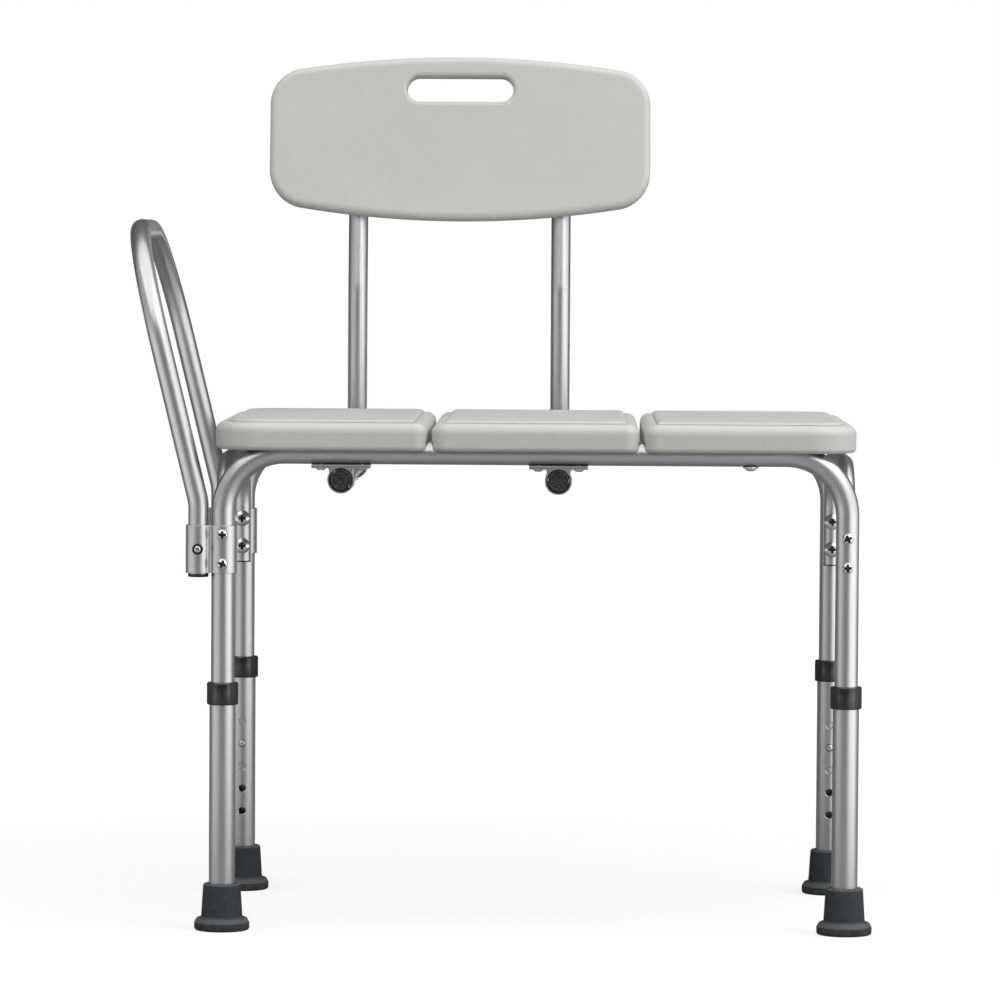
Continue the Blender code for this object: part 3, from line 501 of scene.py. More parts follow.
# %% The bent-tube tree
def bent_tube_tree():
    make = Maker("bent_tube", {"Radius": "Float", "Wall": "Float", "Sides": "Int", "Bend steps": "Int",
                               "Material": "Material"})
    given = make.given
    path = make.node("MeshToCurve", {"Mesh": given["Geometry"]})
    path = make.node("FilletCurve", {"Curve": path, "Count": given["Bend steps"], "Limit Radius": False,
                                     "Radius": make.attribute("bend_radius")}, mode="POLY")
    path = make.store(path, "along", make.node("SplineParameter", out="Length"), data_type="FLOAT")
    ring = make.node("CurvePrimitiveCircle", {"Resolution": given["Sides"], "Radius": given["Radius"]})
    ring = make.store(ring, "round", make.node("InputPosition"), data_type="FLOAT_VECTOR")
    skin = make.node("CurveToMesh", {"Curve": path, "Profile Curve": ring})
    x, y, _ = make.parts(make.attribute("round", "FLOAT_VECTOR"))
    place = make.node("ShaderNodeCombineXYZ", {"X": x, "Y": y, "Z": make.attribute("along")})
    skin = make.store(skin, "drawn_place", place, data_type="FLOAT_VECTOR", domain="CORNER")
    bore = make.node("ExtrudeMesh", {"Mesh": skin, "Offset Scale": given["Wall"] * -1.0, "Individual": False})
    bore = make.node("FlipFaces", {"Mesh": bore})
    tube = make.node("JoinGeometry", {"Geometry": [skin, bore]})
    tube = make.node("MergeByDistance", {"Geometry": tube, "Distance": 1e-6})
    return make.finish(tube, {"Material": True})


BENT_TUBE = bent_tube_tree()

# %% [markdown]
# Holes for bolts and snap buttons are drilled in a row at one pitch. The second tree repeats a drill
# along a line and takes it away from the tube. The drill is modelled with a collar that breaks the
# hole's edge. On a round tube that edge is a saddle, so the collar dips with the tube on both sides.

# %% The drilled-row tree
def drilled_row_tree():
    make = Maker("drilled_row", {"First hole": "Vector", "Pitch": "Vector", "Count": "Int",
                                 "Outward": "Vector", "Drill": "Object", "Material": "Material"})
    given = make.given
    row = make.node("MeshLine", {"Count": given["Count"], "Start Location": given["First hole"],
                                 "Offset": given["Pitch"]})
    facing = make.node("FunctionNodeAlignRotationToVector", {"Vector": given["Outward"]})
    drills = make.copies(row, given["Drill"], facing)
    tube = make.node("MeshBoolean", {"Mesh 1": given["Geometry"], "Mesh 2": drills}, solver="EXACT")
    return make.finish(tube, {"Material": True})


DRILLED_ROW = drilled_row_tree()
EDGE_CUT = 0.0005          # how wide and deep a hole's edge is broken
DRILL_SIDES = 32
TUBE_SIDES, BEND_STEPS = 56, 20
WALL = 0.0012              # of all tubes but the lower legs


def drill(hole_r, tube_r):
    """A drill whose own Z points out of the tube, and whose origin lies on the tube's skin."""
    wide_r = hole_r + 2 * EDGE_CUT
    rings = []
    for r, z, follows in ((hole_r, -tube_r / 2, 0), (hole_r, -EDGE_CUT, 1), (wide_r, EDGE_CUT, 1),
                          (wide_r, tube_r / 2, 0)):
        rings.append([(x, y, z + follows * (math.sqrt(tube_r ** 2 - x ** 2) - tube_r))
                      for x, y in circle((0, 0), r, DRILL_SIDES)])
    return piece_from("drill", mesh_of(skin_over(rings, capped=True), "drill"))


def one_hole(place, outward, diameter):
    return place, (0, 0, 0), 1, outward, diameter


def drilled(piece, tube_r, rows, material=ALUMINIUM, sharp_degrees=32):
    """Drills the rows: first hole on the skin, pitch, count, direction outward, diameter."""
    drills = []
    for first, pitch, count, outward, diameter in rows:
        drills.append(drill(diameter / 2, tube_r))
        use_tree(piece, DRILLED_ROW, {"First hole": list(first), "Pitch": list(pitch), "Count": count,
                                      "Outward": list(outward), "Drill": drills[-1], "Material": material})
    plain(piece)
    for used in drills:
        bpy.data.objects.remove(used)
    shade(piece.data, sharp_degrees)
    return piece


def tube(name, corners, bends, radius, rows=(), wall=WALL, sides=TUBE_SIDES):
    """A bent tube through the corners, drilled with rows of holes."""
    mesh = bpy.data.meshes.new(name)
    mesh.from_pydata([tuple(c) for c in corners], [(i, i + 1) for i in range(len(corners) - 1)], [])
    bend = mesh.attributes.new("bend_radius", "FLOAT", "POINT")
    bend.data.foreach_set("value", [0.0, *bends, 0.0])
    piece = piece_from(name, mesh)
    use_tree(piece, BENT_TUBE, {"Radius": radius, "Wall": wall, "Sides": sides, "Bend steps": BEND_STEPS,
                                "Material": ALUMINIUM})
    drilled(piece, radius, rows)
    for spare in ("along", "round", "bend_radius"):
        if spare in piece.data.attributes:
            piece.data.attributes.remove(piece.data.attributes[spare])
    return piece


# %% [markdown]
# The frame is two upside-down U tubes, front and rear, under the seat. Their legs run down inside the
# lower legs and stop a little under the snap button, and each is drilled for that button.

# %% Frame tubes
FRAME_R, FRAME_BEND = 0.0125, 0.065
RAIL_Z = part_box("front_frame_tube")[1].z - FRAME_R
FRAME_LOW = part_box("front_frame_tube")[0].z
HOLE_D, HOLE_PITCH, HOLE_COUNT, TOP_HOLE_Z = 0.008, 0.0254, 5, 0.1917
BUTTON_Z = TOP_HOLE_Z - HOLE_PITCH


def upturned(x, y, low, top):
    """The corners of an upside-down U from one (x, y) to the other."""
    return [at(x[0], y[0], low), at(x[0], y[0], top), at(x[1], y[1], top), at(x[1], y[1], low)]


for end, out in ENDS.items():
    y = out * LEG_Y
    buttons = (at(-LEG_X, y - out * FRAME_R, BUTTON_Z), (2 * LEG_X, 0, 0), 2, (0, -out, 0), HOLE_D)
    made = tube(f"frame_tube_{end}", upturned((-LEG_X, LEG_X), (y, y), FRAME_LOW, RAIL_Z),
                (FRAME_BEND, FRAME_BEND), FRAME_R, [buttons])
    hand_over(made, "frame", "satin_aluminium", f"{end}_frame_tube")

# %% [markdown]
# Two smaller U tubes brace the front and rear legs of each end. At the arm rail's end the sleeves lie
# between brace and leg, so that brace is a little shorter.

# %% End braces
BRACE_R, BRACE_BEND, BRACE_SIDES = 0.0095, 0.064, 48
BRACE_Y, BRACE_LOW = {}, {}

for side, way in SIDES.items():
    low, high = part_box(f"end_brace_{side}")
    x, y = way * LEG_X, (high.y - low.y) / 2 - BRACE_R
    BRACE_Y[side], BRACE_LOW[side] = y, low.z
    made = tube(f"brace_{side}", upturned((x, x), (-y, y), low.z, high.z - BRACE_R),
                (BRACE_BEND, BRACE_BEND), BRACE_R, sides=BRACE_SIDES)
    hand_over(made, "frame", "satin_aluminium", f"end_brace_{side}")

# %% [markdown]
# Each lower leg is a straight tube with five holes on its inner side, 25.4 mm apart. It slides over the
# frame tube, and the snap button through the second hole holds it.

# %% Lower legs
LEG_R, LEG_WALL = 0.0140, 0.0011

for end, out, side, _ in CORNERS:
    node = f"leg_tube_{end}_{side}"
    low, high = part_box(node)
    x, y = middle_of(node).xy
    holes = ((x, y - out * LEG_R, TOP_HOLE_Z), (0, 0, -HOLE_PITCH), HOLE_COUNT, (0, -out, 0), HOLE_D)
    made = tube(f"lower_leg_{end}_{side}", [(x, y, low.z), (x, y, high.z)], (), LEG_R, [holes], LEG_WALL)
    hand_over(made, f"leg_{end}_{side}", "satin_aluminium", node)

# %% [markdown]
# The arm rail is one long tube. It stands in two sleeves, leans out above the seat so that elbows have
# room, and has a wide round at each upper corner. The lean starts in a gentle knee. The holes for its two
# buttons are larger than the buttons; the dark ring round each button is painted shade, a black ring in
# the sleeve's hole.

# %% Arm rail
ARM_R, ARM_HOLE_D = 0.011, 0.0098
ARM_X, ARM_TOP_X = -0.3584, -0.4292
ARM_KNEE_Z, ARM_KNEE_BEND, ARM_CORNER_BEND = 0.4567, 0.050, 0.125
SLEEVE_Z = middle_of("arm_sleeve_front").z
arm_low, arm_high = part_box("arm_rail")
foot, knee, top = (ARM_X, arm_low.z), (ARM_X, ARM_KNEE_Z), (ARM_TOP_X, arm_high.z - ARM_R)
corners = [at(x, -LEG_Y, z) for x, z in (foot, knee, top)] + [at(x, LEG_Y, z) for x, z in (top, knee, foot)]
rows = [one_hole(at(ARM_X, out * (LEG_Y + ARM_R), SLEEVE_Z), (0, out, 0), ARM_HOLE_D)
        for out in ENDS.values()]
bends = (ARM_KNEE_BEND, ARM_CORNER_BEND, ARM_CORNER_BEND, ARM_KNEE_BEND)
hand_over(tube("arm_rail_tube", corners, bends, ARM_R, rows), "arm", "satin_aluminium", "arm_rail")

# %% [markdown]
# Two more tubes carry the backrest. Each runs back under the seat through two brackets, turns up behind
# it and leans back a few degrees behind the panel.

# %% Back tubes
BACK_R, BACK_SPAN, BACK_MIDDLE = 0.011, 0.231, -0.091
BACK_X = {side: BACK_MIDDLE + way * BACK_SPAN / 2 for side, way in SIDES.items()}
BACK_LEAN = math.radians(8.0)
BACK_BEND, POST_BEND, POST_KNEE_Z, POST_Y = 0.045, 0.080, 0.681, 0.2433
PANEL_Y, PANEL_Z = 0.26705, 0.850
POST_TOP = 0.043           # above the panel's middle, up the post
rise = Vector((0, math.sin(BACK_LEAN), math.cos(BACK_LEAN)))
back_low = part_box("back_tube_left")[0]
BACK_Z = back_low.z + BACK_R
BACK_FRONT_Y = back_low.y - MIDDLE.y

for side, x in BACK_X.items():
    corners = [at(x, BACK_FRONT_Y, BACK_Z), at(x, POST_Y, BACK_Z), at(x, POST_Y, POST_KNEE_Z),
               at(x, PANEL_Y, PANEL_Z) + rise * POST_TOP]
    hole = one_hole(at(x, LEG_Y, BACK_Z - BACK_R), DOWN, HOLE_D)
    made = tube(f"back_post_{side}", corners, (BACK_BEND, POST_BEND), BACK_R, [hole])
    hand_over(made, "backrest", "satin_aluminium", f"back_tube_{side}")

# %% [markdown]
# Turned shapes such as feet, collars, caps and bolt heads come from a profile spun round an axis. The
# profile's corners are rounded first, because no moulded or pressed edge is truly sharp and the small
# rounds are what catch the light.

# %% Rounded profiles and turned shapes
def rounded(corners, steps=5):
    """A line of (x, y) points, with an arc in place of each corner that is (x, y, radius)."""
    points = [Vector(corner[:2]) for corner in corners]
    made = []
    for i, corner in enumerate(points):
        radius = corners[i][2] if len(corners[i]) > 2 else 0
        if radius == 0:
            made.append(corner)
            continue
        into = (points[i - 1] - corner).normalized()
        out = (points[(i + 1) % len(points)] - corner).normalized()
        half = into.angle(out) / 2
        centre = corner + (into + out).normalized() * radius / math.sin(half)
        start = corner + into * radius / math.tan(half) - centre
        swing = (math.pi - 2 * half) * (1 if into.cross(out) < 0 else -1)
        made += [centre + Matrix.Rotation(swing * k / steps, 2) @ start for k in range(steps + 1)]
    return made


def turned(profile, sides=64, closed=False, edge_light_levels=None):
    """A mesh of (radius, height) points spun round Z. A point on the axis stays one point."""
    rings = [[(x, y, height) for x, y in circle((0, 0), radius, sides if radius > 1e-7 else 1)]
             for radius, height in profile]
    bm = skin_over(rings, edge_light_levels, closed)
    keep_place(bm)
    return shade(mesh_of(bm, "turned"))


def stand(mesh, place, axis=UP):
    """Turns a mesh's own Z to the axis and moves it to its place."""
    facing = Vector(axis).to_track_quat("Z", "Y").to_matrix().to_4x4()
    mesh.transform(Matrix.Translation(place) @ facing)
    return mesh


# %% [markdown]
# A foot is a tapered rubber cup on a wide flange with a flat rim, and rings moulded underneath for grip.
# A collar is a short ring over the leg's top end that steadies the tube inside.

# %% Feet and collars
FOOT_R, FOOT_RIM_H, FOOT_H, FOOT_BASE = 0.0295, 0.0082, 0.050, 0.012
LEDGE_R, LEDGE_H = 0.0270, 0.0128
CUP_LOW_R, CUP_TOP_R, CUP_LOW_H, CUP_BORE = 0.0221, 0.0199, 0.0146, 0.0144
TREAD_RINGS = (0.0070, 0.0125, 0.0180, 0.0235)
TREAD_W, TREAD_DEPTH = 0.0018, 0.0012
# how much paler the flange's ledge, its slope and the cup's top are painted: a painted highlight
FLANGE_LIGHT, SLOPE_LIGHT, TOP_LIGHT = 0.9, 0.35, 0.8
COLLAR_R, COLLAR_FIT, COLLAR_BORE, COLLAR_LIP = 0.0168, 0.0143, 0.0129, 0.003


def foot_mesh():
    corners = [(0, 0)]
    for r in TREAD_RINGS:
        inner, outer = r - TREAD_W / 2, r + TREAD_W / 2
        corners += [(inner, 0), (inner, TREAD_DEPTH), (outer, TREAD_DEPTH), (outer, 0)]
    corners += [(FOOT_R, 0, 0.0030), (FOOT_R, FOOT_RIM_H, 0.0024), (LEDGE_R, LEDGE_H, 0.0030),
                (CUP_LOW_R, CUP_LOW_H, 0.0006), (CUP_TOP_R, FOOT_H, 0.0026), (CUP_BORE, FOOT_H, 0.0010),
                (CUP_BORE, FOOT_BASE), (0, FOOT_BASE)]
    profile = rounded(corners)
    # painted highlight: the ledge, its slope and the cup's top rim are painted paler
    edge_light_levels = [FLANGE_LIGHT if r > LEDGE_R - 0.001 and h > FOOT_RIM_H + 0.0004 else
            SLOPE_LIGHT if r > CUP_LOW_R and FOOT_RIM_H < h < CUP_LOW_H + 0.0003 else
            TOP_LIGHT if h > FOOT_H - 0.0022 else 0.0 for r, h in profile]
    return turned(profile, edge_light_levels=edge_light_levels)


def collar_mesh(height):
    corners = [(COLLAR_BORE, 0, 0.0005), (COLLAR_R, 0, 0.0018), (COLLAR_R, -height, 0.0018),
               (COLLAR_FIT, -height, 0.0004), (COLLAR_FIT, -COLLAR_LIP), (COLLAR_BORE, -COLLAR_LIP)]
    return turned(rounded(corners), closed=True)


for end, _, side, _ in CORNERS:
    x, y = middle_of(f"leg_tube_{end}_{side}").xy
    low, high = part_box(f"leg_collar_{end}_{side}")
    foot = piece_from(f"foot_{end}_{side}", stand(foot_mesh(), (x, y, 0)), RUBBER)
    hand_over(foot, f"leg_{end}_{side}", "grey_rubber", f"leg_foot_{end}_{side}")
    ring = stand(collar_mesh(high.z - low.z), (x, y, high.z))
    collar = piece_from(f"collar_{end}_{side}", ring, HATCHED)
    hand_over(collar, f"leg_{end}_{side}", "black_plastic", f"leg_collar_{end}_{side}")

# %% [markdown]
# Plugs and caps close the tubes' open ends: a short rim outside and a spigot inside. The caps that face
# the user under the seat have a pebbled face, a little hollow inside a smooth rim.

# %% Plugs and caps
SPIGOT, PLUG_EDGE, POST_RIM = 0.012, 0.0003, 0.003
FACE_SHARE, RIM_SHARE = 0.80, 0.86      # of a plug's radius: where its face ends and its rim begins
FIT = 0.0003               # between a fitted piece and what it fits


def add_plug(name, place, axis, outer, rim, round_r, body, *nodes, hollow=0.0, look=BLACK):
    bore, face = outer - WALL - FIT, hollow - rim
    corners = [(0, face), (outer * FACE_SHARE, face, PLUG_EDGE), (outer * RIM_SHARE, -rim, PLUG_EDGE),
               (outer, -rim, round_r), (outer, 0), (bore, 0), (bore, SPIGOT, 0.0008), (0, SPIGOT)]
    mesh = turned(rounded(corners), sides=48)
    hand_over(piece_from(name, stand(mesh, place, axis), look), body, "black_plastic", *nodes)


for end, out in ENDS.items():
    add_plug(f"arm_end_plug_{end}", at(ARM_X, out * LEG_Y, arm_low.z), UP, ARM_R, 0.0035, 0.0012, "arm",
             f"arm_plug_{end}")
for side, x in BACK_X.items():
    add_plug(f"back_cap_{side}", at(x, BACK_FRONT_Y, BACK_Z), (0, 1, 0), BACK_R, 0.003, 0.0008,
             "backrest", f"back_tube_cap_{side}", hollow=0.0005, look=PEBBLED)
    add_plug(f"post_plug_{side}", at(x, PANEL_Y, PANEL_Z) + rise * POST_TOP, -rise, BACK_R, POST_RIM, 0.0010,
             "backrest", f"back_post_plug_{side}")
    for end, out in ENDS.items():
        place = at(SIDES[side] * LEG_X, out * BRACE_Y[side], BRACE_LOW[side])
        add_plug(f"brace_plug_{end}_{side}", place, UP, BRACE_R, 0.0014, 0.0005, "frame")

# %% [markdown]
# The sleeves and brackets are cut from extruded aluminium: one flat outline with round bores, the same
# all the way through. A flat curve does this well, because it fills between its outlines, gives the
# outline a depth and rounds the edges. Two rings that touch are joined by a round that fits both.

# %% Extruded sections
EDGE_BREAK, SECTION_SHARP = 0.0005, 40


def extruded(name, outlines, depth, place, axes):
    """A section of flat outlines, depth long. axes are the frame directions of its X, Y and depth."""
    curve = bpy.data.curves.new(name, "CURVE")
    curve.dimensions, curve.fill_mode = "2D", "BOTH"
    curve.extrude, curve.bevel_depth = depth / 2 - EDGE_BREAK, EDGE_BREAK
    curve.bevel_resolution, curve.offset = 2, -EDGE_BREAK
    for outline in outlines:
        spline = curve.splines.new("POLY")
        spline.points.add(len(outline) - 1)
        spline.points.foreach_set("co", [v for x, y in outline for v in (x, y, 0, 1)])
        spline.use_cyclic_u = True
    flat = bpy.data.objects.new(name, curve)
    bpy.context.scene.collection.objects.link(flat)
    graph = bpy.context.evaluated_depsgraph_get()
    mesh = bpy.data.meshes.new_from_object(flat.evaluated_get(graph), depsgraph=graph)
    bpy.data.objects.remove(flat)
    bpy.data.curves.remove(curve)
    bm = bmesh.new()
    bm.from_mesh(mesh)
    bpy.data.meshes.remove(mesh)
    bmesh.ops.remove_doubles(bm, verts=bm.verts, dist=1e-6)
    keep_place(bm)
    turn = Matrix([Vector(axis) for axis in axes]).transposed().to_4x4()
    bmesh.ops.transform(bm, matrix=Matrix.Translation(place) @ turn, verts=bm.verts)
    return piece_from(name, shade(mesh_of(bm, name), SECTION_SHARP), ALUMINIUM)


def bush_from(name, corners, place, axis, sides=64):
    """A short black ring round the axis."""
    return piece_from(name, stand(turned(rounded(corners), sides, closed=True), place, axis), BLACK)


# %% [markdown]
# The sleeve wraps the leg with one ring and the arm rail with the other. Its button hole is wider than
# the button, and a thin black ring lines it: painted shade in the gap round the button.

# %% Arm sleeves
SLEEVE_LEG_R, SLEEVE_ARM_R, SLEEVE_ROUND = 0.0150, 0.0136, 0.0035
SLEEVE_LEG_BORE, SLEEVE_ARM_BORE, SLEEVE_HOLE = 0.0128, 0.0114, 0.0108
SHADE_RING_BORE, SHADE_RING_R, SHADE_RING_DEEP, SHADE_RING_PROUD = 0.0039, 0.0053, 0.0016, 0.0003


def double_ring():
    offset = LEG_X + ARM_X          # from the leg's middle to the arm's, which is to the left
    reach_leg, reach_arm = SLEEVE_LEG_R + SLEEVE_ROUND, SLEEVE_ARM_R + SLEEVE_ROUND
    x = (offset ** 2 + reach_leg ** 2 - reach_arm ** 2) / (2 * offset)
    y = math.sqrt(reach_leg ** 2 - x ** 2)
    leg_angle, arm_angle = math.atan2(y, x), math.atan2(y, x - offset)
    outline = arc((0, 0), SLEEVE_LEG_R, -leg_angle, leg_angle, 48)
    outline += arc((x, y), SLEEVE_ROUND, leg_angle - math.pi, arm_angle - math.pi, 8)[1:-1]
    outline += arc((offset, 0), SLEEVE_ARM_R, arm_angle, math.tau - arm_angle, 44)
    outline += arc((x, -y), SLEEVE_ROUND, math.pi - arm_angle, math.pi - leg_angle, 8)[1:-1]
    return [outline, circle((0, 0), SLEEVE_LEG_BORE), circle((offset, 0), SLEEVE_ARM_BORE)]


for end, out in ENDS.items():
    low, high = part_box(f"arm_sleeve_{end}")
    z = (low.z + high.z) / 2
    sleeve = extruded(f"sleeve_{end}", double_ring(), high.z - low.z, at(-LEG_X, out * LEG_Y, z),
                      ((1, 0, 0), (0, 1, 0), UP))
    skin_point = at(ARM_X, out * (LEG_Y + SLEEVE_ARM_R), z)
    drilled(sleeve, SLEEVE_ARM_R, [one_hole(skin_point, (0, out, 0), SLEEVE_HOLE)],
            sharp_degrees=SECTION_SHARP)
    hand_over(even_normals(sleeve), "frame", "satin_aluminium", f"arm_sleeve_{end}")
    # painted shade: a thin black ring in the gap round the button, where the hole is in shade
    corners = [(SHADE_RING_BORE, -SHADE_RING_DEEP), (SHADE_RING_R, -SHADE_RING_DEEP), (SHADE_RING_R, SHADE_RING_PROUD, 0.0004),
               (SHADE_RING_BORE, SHADE_RING_PROUD, 0.0003)]
    shade_ring = bush_from(f"arm_grommet_{end}", corners, skin_point, (0, out, 0), sides=40)
    hand_over(shade_ring, "frame", "black_plastic")

# %% [markdown]
# Each bracket hangs under a frame tube by a flat flange, and holds a back tube in the ring below. The
# neck widens into the flange with round inner corners. A thin black bush lines each ring, so that the
# back tube slides on plastic and not on metal. The rear ones are drilled from below for a button.

# %% Back brackets
BRACKET_R, BRACKET_BORE, BRACKET_FLANGE = 0.0145, 0.0126, 0.0037
BRACKET_NECK, BRACKET_RING_TOP, NECK_ROUND = 0.0132, math.radians(30), 0.0015
BUSH_BORE, BUSH_R, BUSH_PROUD, BUSH_ROUND = 0.0113, 0.0125, 0.0003, 0.0004


def bracket_section(half, top):
    low = top - BRACKET_FLANGE
    ring = arc((0, 0), BRACKET_R, BRACKET_RING_TOP, -math.pi - BRACKET_RING_TOP, 40)
    right = rounded([(-half, top), (half, top), (half, low, 0.001), (BRACKET_NECK, low, NECK_ROUND), ring[0]])
    left = [Vector((-p.x, p.y)) for p in reversed(right[2:-1])]
    return [right + ring[1:] + left, circle((0, 0), BRACKET_BORE)]


for end, out, side, _ in CORNERS:
    node = f"back_bracket_{end}_{side}"
    low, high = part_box(node)
    x, y, half = BACK_X[side], out * LEG_Y, (high.y - low.y) / 2
    bracket = extruded(f"bracket_{end}_{side}", bracket_section((high.x - low.x) / 2, high.z - BACK_Z),
                       high.y - low.y, at(x, y, BACK_Z), ((1, 0, 0), UP, (0, -1, 0)))
    corners = [(r, z * (half + BUSH_PROUD), BUSH_ROUND)
               for r, z in ((BUSH_BORE, -1), (BUSH_R, -1), (BUSH_R, 1), (BUSH_BORE, 1))]
    bush = bush_from(f"bracket_bush_{end}_{side}", corners, at(x, y, BACK_Z), (0, 1, 0))
    if end == "rear":
        for piece, r, look, sharp in ((bracket, BRACKET_R, ALUMINIUM, SECTION_SHARP),
                                      (bush, BUSH_R, BLACK, 32)):
            drilled(piece, r, [one_hole(at(x, y, BACK_Z - r), DOWN, HOLE_D)], look, sharp)
    hand_over(even_normals(bracket), "frame", "satin_aluminium", node)
    hand_over(bush, "frame", "black_plastic")

# %% [markdown]
# A moulded panel is a stack of outlines, each a little further in and higher than the last: up the round
# lower edge, up the side, over the round upper edge, and up a soft slope to the raised sitting surface.
# Close outlines beside each flat face keep its shading flat. The round edges' painted highlight, and the
# crease's painted shade, are set ring by ring in one attribute.

# %% Stacked outlines
FLAT_MARGIN = 0.0006       # from a round edge to the close outline beside it
TIGHTEST = 0.0012          # corner radius


def outline_of(half_x, half_y, radii, inset, steps=10):
    """A rectangle with its own radius at each corner, anticlockwise from +X +Y."""
    made = []
    half_x, half_y = half_x - inset, half_y - inset
    for k, (sx, sy) in enumerate(((1, 1), (-1, 1), (-1, -1), (1, -1))):
        radius = max(radii[k] - inset, TIGHTEST)
        centre = (sx * (half_x - radius), sy * (half_y - radius))
        made += arc(centre, radius, k * math.pi / 2, (k + 1) * math.pi / 2, steps)
    return made


def quarter(radius, steps=6):
    """(inset, drop) pairs round an edge, from its side to its face."""
    return [(radius * (1 - x), radius * (1 - y)) for x, y in arc((0, 0), 1, 0, math.pi / 2, steps)]


def stacked(name, rings, to_frame=Matrix(), edge_light_levels=None):
    """A closed moulding from equal rings of 3-D points, with the first and last closed."""
    bm = skin_over(rings, edge_light_levels, capped=True)
    bmesh.ops.transform(bm, matrix=to_frame, verts=bm.verts)
    return piece_from(name, mesh_of(bm, name), PLASTIC)


def cut_away(piece, cutters):
    """Takes the cutters out of the piece, and leaves a plain mesh."""
    for cutter in cutters:
        cut = piece.modifiers.new("cut", "BOOLEAN")
        cut.object, cut.operation, cut.solver = cutter, "DIFFERENCE", "EXACT"
    plain(piece)
    for cutter in cutters:
        bpy.data.objects.remove(cutter)
    shade(piece.data)
    return even_normals(piece)


# %% [markdown]
# The seat is three such panels with open joints between them for water to run off. The frame tubes nest
# in two channels underneath, and a shallow pocket saves material between them.

# %% Seat panels
EDGE_ROUND, HEM_ROUND, CROWN_RISE, CROWN_INSET, CROWN_SLOPE = 0.010, 0.005, 0.0034, 0.020, 0.006
SLOPE_STEPS = 9
CORNER_ROUND, END_ROUND = 0.016, 0.050
RAIL_NEST, OVERRUN = 0.0105, 0.01
# painted highlight on the lower round edge, and painted shade in the crease round the sitting surface
HEM_LIGHT, CREASE_SHADE = 0.25, -1.0
POCKET_DEPTH, POCKET_MARGIN, POCKET_CORNER, POCKET_ROUND = 0.007, 0.020, 0.015, 0.003


def seat_sections(thickness):
    """(inset, height, painted light) of each outline from the underside to the sitting surface."""
    shoulder, foot = thickness - CROWN_RISE, CROWN_INSET - CROWN_SLOPE
    # The third value paints light: paler on the hem, the round upper edge and the slope, dark in the crease
    made = [(HEM_ROUND + FLAT_MARGIN, 0.0, 0.0)]
    made += [(inset, drop, HEM_LIGHT) for inset, drop in quarter(HEM_ROUND)[::-1]]
    made += [(0.0, EDGE_ROUND, 0.0), (0.0, shoulder - EDGE_ROUND - 0.001, 0.0)]
    made += [(inset, shoulder - drop, 0.2 + 0.8 * math.sin(math.pi * i / 6))
             for i, (inset, drop) in enumerate(quarter(EDGE_ROUND))]
    made += [(EDGE_ROUND + FLAT_MARGIN, shoulder, 0.0), (foot - 0.0008, shoulder, 0.0),
             (foot, shoulder, CREASE_SHADE), (foot, shoulder + 0.0005, CREASE_SHADE)]
    for k in range(1, SLOPE_STEPS + 1):
        turn = math.pi / 2 * k / SLOPE_STEPS
        made.append((foot + CROWN_SLOPE * (1 - math.cos(turn)), shoulder + CROWN_RISE * math.sin(turn),
                     0.4 * math.sin(2 * turn)))
    return made + [(CROWN_INSET + 0.0008, thickness, 0.0)]


def box_between(name, low, high):
    ring = [(low.x, low.y), (high.x, low.y), (high.x, high.y), (low.x, high.y)]
    return stacked(name, [[(x, y, z) for x, y in ring] for z in (low.z, high.z)])


def seat_panel(side, radii, channel_low, channel_high):
    node = f"seat_panel_{side}"
    low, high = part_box(node)
    middle, (half_x, half_y, _) = (low + high) / 2, (high - low) / 2
    sections = seat_sections(high.z - low.z)
    rings = [[(x, y, h) for x, y in outline_of(half_x, half_y, radii, inset)] for inset, h, _ in sections]
    here = Matrix.Translation((middle.x, middle.y, low.z))
    panel = stacked(f"panel_{side}", rings, here, [edge_light_levels for _, _, edge_light_levels in sections])
    half_w = FRAME_R + FIT
    cutters = [box_between("channel", at(channel_low, y - half_w, low.z - OVERRUN),
                           at(channel_high, y + half_w, low.z + RAIL_NEST)) for y in (-LEG_Y, LEG_Y)]
    pocket = [(0.0, -POCKET_DEPTH), (0.0, POCKET_DEPTH - POCKET_ROUND)]
    pocket += [(inset, POCKET_DEPTH - drop) for inset, drop in quarter(POCKET_ROUND)]
    hollow_x, hollow_y = half_x - POCKET_MARGIN, LEG_Y - FRAME_R - POCKET_MARGIN
    rings = [[(x, y, h) for x, y in outline_of(hollow_x, hollow_y, (POCKET_CORNER,) * 4, inset)]
             for inset, h in pocket]
    cutters.append(stacked("pocket", rings, here))
    hand_over(cut_away(panel, cutters), "frame", "seat_plastic", node)


middle_low, middle_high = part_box("seat_panel_middle")
JOINT_LOW, JOINT_HIGH = middle_high.x - MIDDLE.x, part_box("seat_panel_right")[0].x - MIDDLE.x
bend_x, bend_z = LEG_X - FRAME_BEND, RAIL_Z - FRAME_BEND
NEST_GAP = 0.002           # beyond where a frame tube's bend dips below the seat's underside
DIP_X = bend_x + math.sqrt((FRAME_BEND + FRAME_R + FIT) ** 2 - (middle_low.z - bend_z) ** 2) + NEST_GAP
small, large = CORNER_ROUND, END_ROUND
seat_panel("middle", (small,) * 4, -JOINT_LOW - OVERRUN, JOINT_LOW + OVERRUN)
seat_panel("left", (small, large, large, small), -DIP_X, -JOINT_HIGH + OVERRUN)
seat_panel("right", (large, small, small, large), JOINT_HIGH - OVERRUN, DIP_X)

# %% [markdown]
# The backrest is moulded in the same way but stands up and leans back. Its top and bottom edges are
# arched, its hand slot has soft lips front and rear, and the posts lie in two channels behind it.

# %% Backrest panel
PANEL_W, PANEL_SIDE, ARCH_TOP, ARCH_LOW, PANEL_T, PANEL_CORNER = 0.433, 0.146, 0.020, 0.021, 0.026, 0.034
FRONT_ROUND, REAR_ROUND, PANEL_REAR = 0.008, 0.006, -0.002
SLOT_W, SLOT_H, SLOT_RISE, SLOT_FRONT_LIP, SLOT_REAR_LIP = 0.121, 0.029, 0.056, 0.005, 0.004
ARCH_STEPS, CORNER_STEPS = 24, 12
FLARE, LIP_LIGHT = 1.6, 0.6       # how far the slot's cutter opens outside, in lips, and the lips' painted highlight
